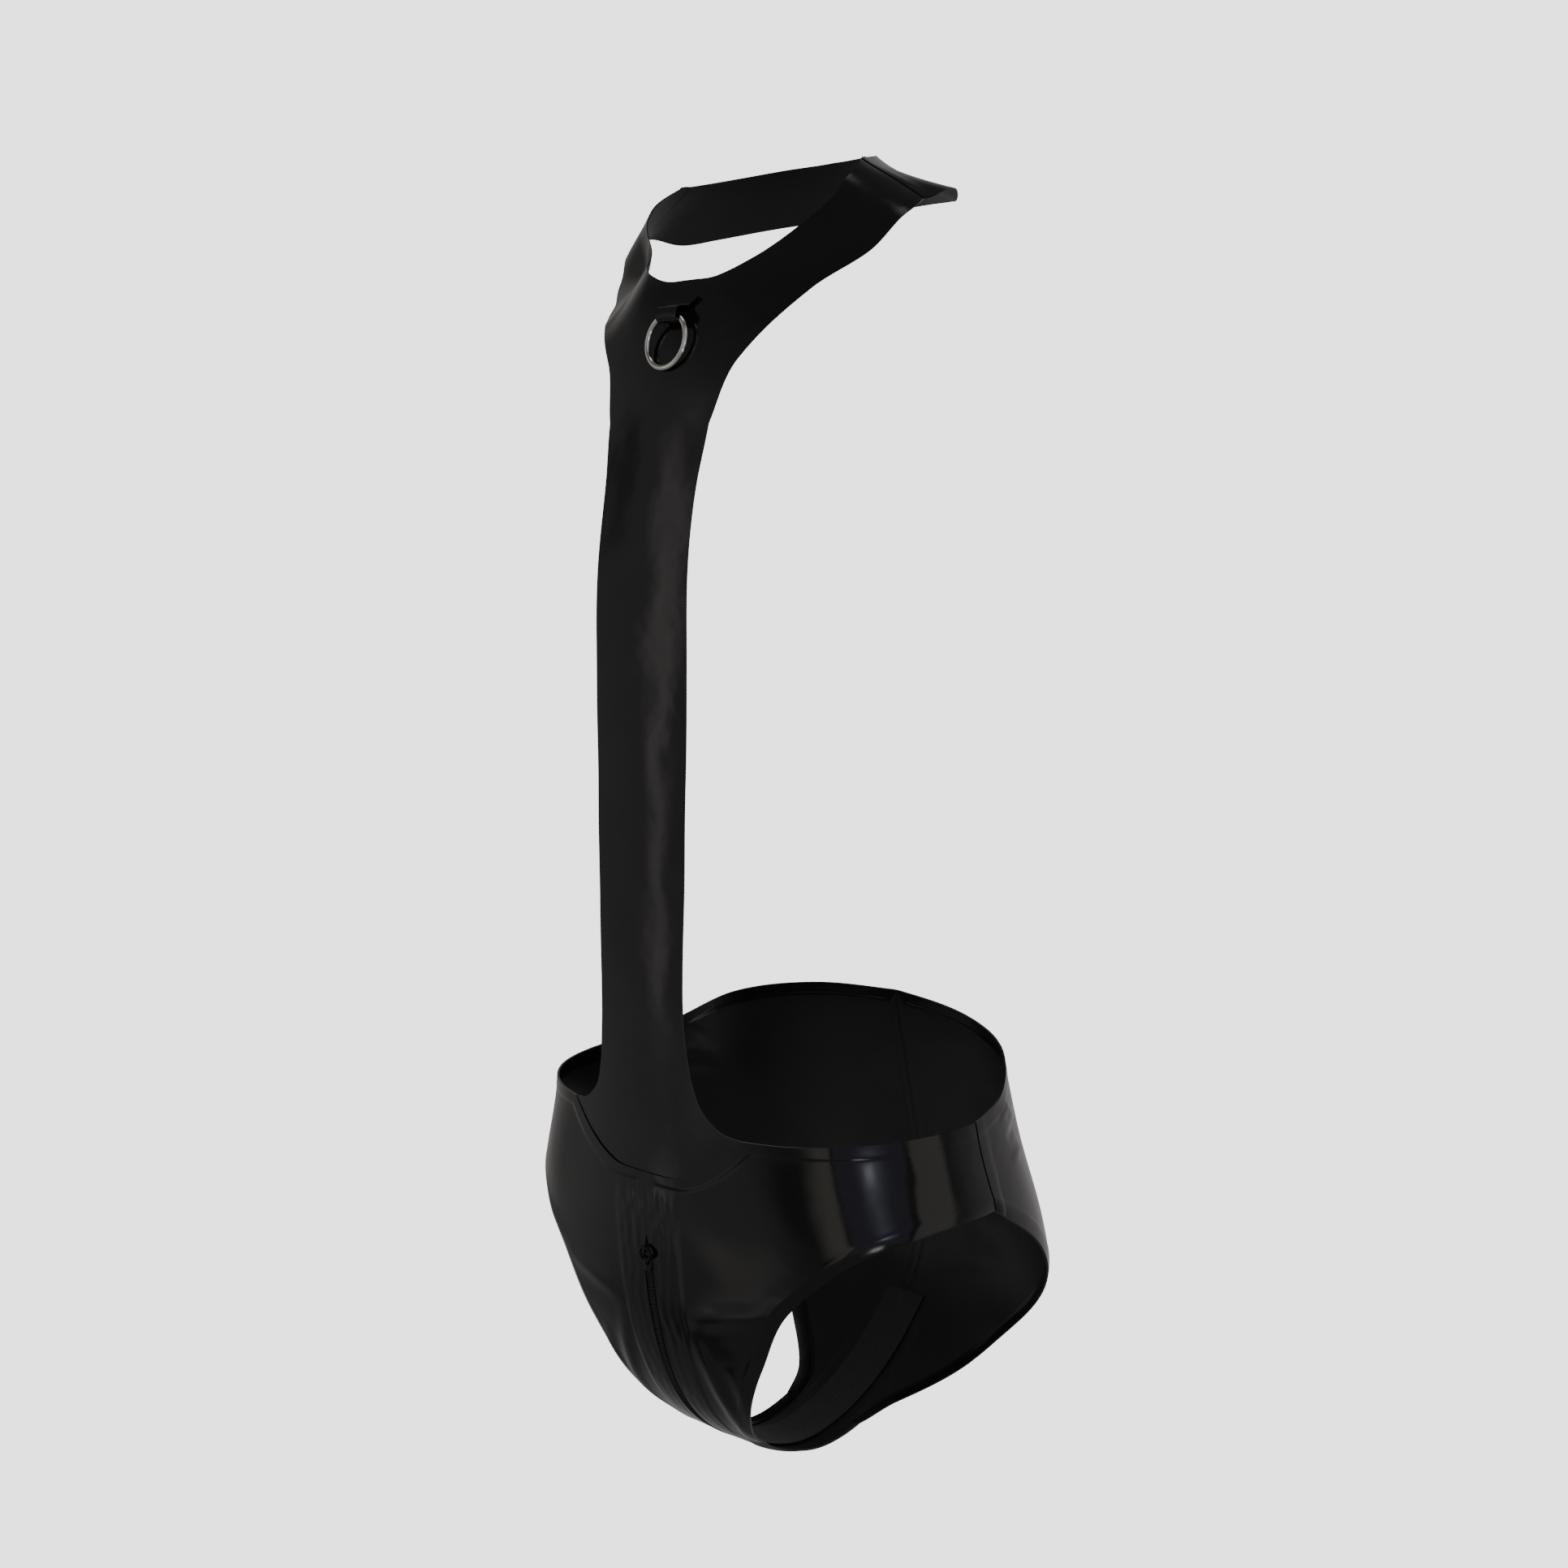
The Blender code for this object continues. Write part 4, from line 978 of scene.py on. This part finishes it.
def slab(width, length, height, power, centre, narrow, lean=0.0):
    """Rounded plate: a sphere's angles raised to a power, scaled, and narrowed along its length."""
    rise, turn = np.meshgrid(np.linspace(-math.pi / 2, math.pi / 2, 18)[1:-1],
                             np.linspace(0, 2 * math.pi, 40, endpoint=False), indexing="ij")
    x = powered(np.cos(rise), power) * powered(np.cos(turn), power) * width / 2
    y = powered(np.cos(rise), power) * powered(np.sin(turn), power) * length / 2
    x = x * (narrow + (1 - narrow) * (0.5 + y / length)) + lean * y
    points = np.stack([x, y, powered(np.sin(rise), power) * height / 2], axis=-1).reshape(-1, 3)
    pole, columns = len(points), rise.shape[1]
    first = np.arange(0, columns, 2)
    ring = np.stack([first, first + 1, (first + 2) % columns], axis=-1)
    low = np.column_stack([0 * first + pole, ring])
    high = np.column_stack([0 * first + pole + 1, ring[:, ::-1] + pole - columns])
    ends = np.array([[0.0, 0.0, -height / 2], [0.0, 0.0, height / 2]])
    return np.concatenate([points, ends]) + centre, np.concatenate([tube_faces(*rise.shape), low, high])


def arch(span, thickness, rise, centre):
    """Bail: a flat rod carried over a half ellipse along the slider."""
    turn = np.linspace(0.0, math.pi, 25)
    along = np.stack([0 * turn, np.cos(turn) * span / 2, np.sin(turn) * rise], axis=-1)
    lift = np.cross(SIDEWAYS, unit(np.gradient(along, axis=0)))
    around = np.linspace(0, 2 * math.pi, 12, endpoint=False)[:, None]
    ring = np.cos(around) * SIDEWAYS * thickness / 2 + np.sin(around) * lift[:, None] * thickness / 4
    return (along[:, None] + ring).reshape(-1, 3) + centre, rod_faces(25, 12)


def hung(node):
    """Middle of a node's box, half its width, and the way there from the node's pivot."""
    low, high = (np.array(corner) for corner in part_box(node))
    pivot = np.array(next(joint["pos_m"] for joint in frame["joints"] if joint["child"] == node))
    centre = (low + high) / 2
    return centre, (high[0] - low[0]) / 2, centre - pivot


def hoop(centre, along_way, half_across, half_along, wire, steps, sides):
    """Round wire carried round an ellipse."""
    turn = np.linspace(0.0, 2 * math.pi, steps, endpoint=False)[:, None]
    around = np.linspace(0.0, 2 * math.pi, sides, endpoint=False)[:, None]
    path = centre + half_across * np.sin(turn) * SIDEWAYS + half_along * np.cos(turn) * along_way
    ahead = unit(half_across * np.cos(turn) * SIDEWAYS - half_along * np.sin(turn) * along_way)
    flat = np.cross(SIDEWAYS, along_way)
    side = np.cross(ahead, flat)
    points = path[:, None] + wire * (np.cos(around) * side[:, None] + np.sin(around) * flat)
    return points.reshape(-1, 3), tube_faces(steps, sides, True)


class SINGLET_OT_ring(bpy.types.Operator):
    """Build the steel ring and the latex tab that holds it"""

    bl_idname = "singlet.ring"
    bl_label = "Ring And Tab"

    def execute(self, context):
        centre, half, rise = hung("ring")
        radius = half - RING_WIRE
        points, faces = hoop(centre, unit(rise), radius, radius, RING_WIRE, 160, 28)
        ring = new_object("steel_ring", points, outer_side(points, faces), (finish_of("steel"),))
        stand_for(ring, "ring", "ring")
        self.tab()
        return {"FINISHED"}

    def tab(self):
        """Strip of latex, glued on the panel, carried round the ring and back up over itself.

        Its run is a line of heights off the figure and up it: down, a half circle, up. It widens upwards.
        """
        outer = TAB_BORE + TAB_SHEET
        turn = np.linspace(0.0, math.pi, 28)
        loop = np.stack([TAB_AXLE - np.cos(turn) * outer, -np.sin(turn) * outer], axis=-1)
        rise = np.linspace(0.0, 1.0, 20)[1:]
        height = rise * TAB_HEIGHT
        low, high = TAB_AXLE - outer, TAB_AXLE + outer
        under, over = WALL + 0.00015 - low, WALL + 0.00130 - high
        behind = np.stack([low + under * smooth(rise / 0.45), height], axis=-1)[::-1]
        front = np.stack([high + over * smooth((height - 0.0026) / 0.0042), height], axis=-1)
        line = np.concatenate([behind, loop, front])
        ahead = unit(np.gradient(line, axis=0))
        inward = np.stack([-ahead[:, 1], ahead[:, 0]], axis=-1)
        wide = TAB_HALF + TAB_FLARE * smooth((line[:, 1] - 0.0055) / 0.0040)
        share = np.linspace(-1.0, 1.0, 41)
        skins = []
        for depth in (0.0, TAB_SHEET):
            flat = line + inward * depth
            tape = RING_TAPE + flat[:, 1:] + 0 * share
            angle = np.degrees(np.arcsin(wide[:, None] * share / section_value("half_width", tape)))
            skins.append((figure(angle, tape) + outward(angle, tape) * flat[:, :1, None]).reshape(-1, 3))
        points = np.concatenate(skins)
        faces = np.concatenate(thickened(grid_faces(len(line), len(share)), len(skins[0])))
        item = new_object("ring_tab_strip", points, outer_side(points, faces), (finish_of("latex"),))
        stand_for(item, "ring_tab")


# Soft panels of the studio's light. Columns: azimuth from and to, height from and to in degrees,
# softness of the four sides in degrees, colour and strength
STUDIO_PANELS = (
    ((-150.0, -88.0), (-40.0, 40.0), (15.0, 22.0, 15.0, 12.0), (0.15, 0.145, 0.14)),
    ((135.0, 210.0), (-30.0, 45.0), (20.0, 18.0, 15.0, 12.0), (0.42, 0.40, 0.40)),
    ((-78.0, -5.0), (-22.0, 24.0), (12.0, 12.0, 9.0, 8.0), (0.17, 0.165, 0.16)),
    ((-45.0, -40.0), (-14.0, 14.0), (3.0, 2.6, 8.0, 8.0), (0.52, 0.47, 0.46)),
    ((-60.0, -54.0), (4.0, 14.0), (2.5, 1.5, 3.0, 3.0), (-0.13, -0.125, -0.12)),
    ((-36.0, -8.0), (-31.0, -19.0), (6.0, 8.0, 3.0, 4.0), (0.24, 0.225, 0.21)),
    ((-56.0, -41.0), (-43.0, -31.0), (4.0, 3.0, 3.0, 2.5), (-0.10, -0.097, -0.094)),
    ((22.0, 37.5), (-16.0, 50.0), (9.0, 1.2, 8.0, 8.0), (0.56, 0.55, 0.47)),
    ((40.5, 92.0), (-16.0, 55.0), (1.2, 1.2, 5.0, 8.0), (0.14, 0.14, 0.22)),
    ((62.0, 76.0), (-2.0, 13.0), (8.0, 8.0, 6.0, 8.0), (0.85, 0.89, 1.1)),
    ((64.0, 71.0), (1.0, 6.0), (3.0, 3.0, 3.0, 3.0), (1.8, 1.9, 2.0)),
    ((97.0, 121.0), (-16.0, 55.0), (1.2, 3.0, 6.0, 8.0), (0.50, 0.49, 0.43)),
    ((-179.0, 179.0), (80.0, 90.0), (3.0, 3.0, 4.0, 4.0), (1.5, 1.47, 1.43)),
    ((60.0, 70.0), (-23.0, -16.0), (3.0, 3.0, 3.0, 3.0), (4.4, 4.5, 4.7)),
)


def studio_world(studio):
    """World: white to the camera, and soft panels of light by azimuth and height to everything else."""
    world = bpy.data.worlds.new("studio_light")
    bpy.context.scene.world = world
    world.use_nodes = True
    tree = world.node_tree
    way = add_node(tree, "SeparateXYZ", _0=add_node(tree, "TexCoord").outputs["Generated"]).outputs
    ahead = maths(tree, "MULTIPLY", way["Y"], -1.0)
    azimuth = maths(tree, "DEGREES", maths(tree, "ARCTAN2", way["X"], ahead))
    height = maths(tree, "DEGREES", maths(tree, "ARCSINE", way["Z"]))
    total = add_node(tree, "RGB").outputs[0]
    total.default_value = (studio.fill, studio.fill * 0.96, studio.fill * 0.94, 1.0)
    for (west, east), (low, high), (soft_w, soft_e, soft_l, soft_h), colour in STUDIO_PANELS:
        middle = (west + east) / 2
        turned = maths(tree, "WRAP", azimuth, middle + 180.0, middle - 180.0)
        mask = studio.panels
        for value, place, soft in ((turned, west, soft_w), (turned, east, -soft_e),
                                   (height, low, soft_l), (height, high, -soft_h)):
            mask = maths(tree, "MULTIPLY", mask, step_between(tree, value, place - soft, place + soft, True))
        lit = scaled(tree, colour, mask)
        total = add_node(tree, "VectorMath", {"operation": "ADD"}, _0=total, _1=lit).outputs[0]
    seen = add_node(tree, "LightPath").outputs["Is Camera Ray"]
    white = (studio.backdrop, studio.backdrop, studio.backdrop, 1.0)
    feed(tree.nodes["Background"], Color=mixed_colour(tree, seen, total, white))


def floor_material(studio):
    """Pale floor: matt, lit a little from below like a light table, and thin to the cloth's reflections."""
    material, tree, shader = new_material("pale_floor")
    place = object_place(tree)
    seen = add_node(tree, "LightPath").outputs["Is Camera Ray"]
    tone = spread(tree, noise(tree, place, Scale=3.0, Detail=2.0), 0.97, 1.0)
    glow = spread(tree, seen, 0.5, studio.backdrop * 0.9)
    feed(shader, Base_Color=scaled(tree, tuple(studio.floor), tone), Roughness=0.9,
         Emission_Color=(1.0, 1.0, 1.0, 1.0), Emission_Strength=glow)
    far = add_node(tree, "VectorMath", {"operation": "LENGTH"}, _0=place).outputs["Value"]
    amount = maths(tree, "MULTIPLY", spread(tree, seen, 0.10, 1.0), step_between(tree, far, 3.4, 1.0, True))
    clear = add_node(tree, "BsdfTransparent").outputs[0]
    mixed = add_node(tree, "MixShader", Fac=amount, _1=clear, _2=shader.outputs[0])
    feed(tree.nodes["Material Output"], Surface=mixed.outputs[0])
    return material


def soft_light(name, place, aim, size, power, colour):
    """Square area light that looks at a point and isn't seen itself."""
    data = bpy.data.lights.new(name, "AREA")
    data.size = size
    data.energy = power
    data.color = colour
    lamp = bpy.data.objects.new(name, data)
    lamp.location = place
    lamp.rotation_euler = (Vector(aim) - Vector(place)).to_track_quat("-Z", "Y").to_euler()
    lamp.visible_camera = False
    lamp.visible_glossy = False
    bpy.context.scene.collection.objects.link(lamp)


# Camera, from the outline fitted to the picture: metres and degrees
CAMERA_PLACE = (1.0653, -1.0436, -0.1301)
CAMERA_TURN = 45.59
CAMERA_DIP = 6.805
CAMERA_ROLL = 0.49
CAMERA_LENS = 67.04


class SINGLET_OT_stage(bpy.types.Operator):
    """Set the camera, the pale floor and the soft light"""

    bl_idname = "singlet.stage"
    bl_label = "Stage"

    def execute(self, context):
        studio = context.scene.singlet_studio
        turn, dip, roll = (math.radians(a) for a in (CAMERA_TURN, CAMERA_DIP, CAMERA_ROLL))
        ahead = Vector((-math.sin(turn) * math.cos(dip), math.cos(turn) * math.cos(dip), -math.sin(dip)))
        right = Vector((math.cos(turn), math.sin(turn), 0.0))
        above = right.cross(ahead)
        right, above = (right * math.cos(roll) + above * math.sin(roll),
                        above * math.cos(roll) - right * math.sin(roll))
        data = bpy.data.cameras.new("picture_camera")
        data.lens = CAMERA_LENS
        data.sensor_width = 36.0
        data.clip_start, data.clip_end = 0.01, 50.0
        camera = bpy.data.objects.new("picture_camera", data)
        turned = Matrix((right, above, -ahead)).transposed().to_4x4()
        camera.matrix_world = Matrix.Translation(CAMERA_PLACE) @ turned
        context.scene.collection.objects.link(camera)
        context.scene.camera = camera
        studio_world(studio)
        side = np.linspace(-4.0, 4.0, 9)
        x, y = np.meshgrid(side, side, indexing="ij")
        points = np.stack([x, y, 0 * x + studio.floor_height], axis=-1).reshape(-1, 3)
        floor = new_object("pale_floor", points, grid_faces(9, 9)[:, ::-1], (floor_material(studio),))
        soft_light("top_softbox", (0.3, -0.5, 2.2), (0.0, 0.0, -0.4), 1.6, 12.0, (1.0, 0.99, 0.98))
        return {"FINISHED"}


class SINGLET_PT_panel(bpy.types.Panel):
    """Sidebar panel that lists the pieces"""

    bl_idname = "SINGLET_PT_panel"
    bl_label = "Latex Singlet"
    bl_space_type = "VIEW_3D"
    bl_region_type = "UI"
    bl_category = "Singlet"

    def draw(self, context):
        for group in ("singlet_cloth", "singlet_finish", "singlet_studio"):
            settings = getattr(context.scene, group)
            for name in settings.bl_rna.properties.keys():
                if name not in ("rna_type", "name"):
                    self.layout.prop(settings, name)
        for operator in OPERATORS:
            self.layout.operator(operator.bl_idname)


GROUPS = (SingletCloth, SingletFinish, SingletStudio)
OPERATORS = (SINGLET_OT_stage, SINGLET_OT_front_panel, SINGLET_OT_back_yoke, SINGLET_OT_brief, SINGLET_OT_zip,
             SINGLET_OT_ring)


def register():
    """Register the classes and hang the settings on the scene."""
    for part in GROUPS + OPERATORS + (SINGLET_PT_panel,):
        bpy.utils.register_class(part)
    bpy.types.Scene.singlet_cloth = PointerProperty(type=SingletCloth)
    bpy.types.Scene.singlet_finish = PointerProperty(type=SingletFinish)
    bpy.types.Scene.singlet_studio = PointerProperty(type=SingletStudio)


def unregister():
    """Take the settings and the classes away again."""
    for name in ("singlet_cloth", "singlet_finish", "singlet_studio"):
        delattr(bpy.types.Scene, name)
    for part in reversed(GROUPS + OPERATORS + (SINGLET_PT_panel,)):
        bpy.utils.unregister_class(part)


def main():
    """Build every piece in order."""
    register()
    bpy.ops.singlet.stage()
    bpy.ops.singlet.front_panel()
    bpy.ops.singlet.back_yoke()
    bpy.ops.singlet.brief()
    bpy.ops.singlet.zip()
    bpy.ops.singlet.ring()


if __name__ == "__main__":
    main()
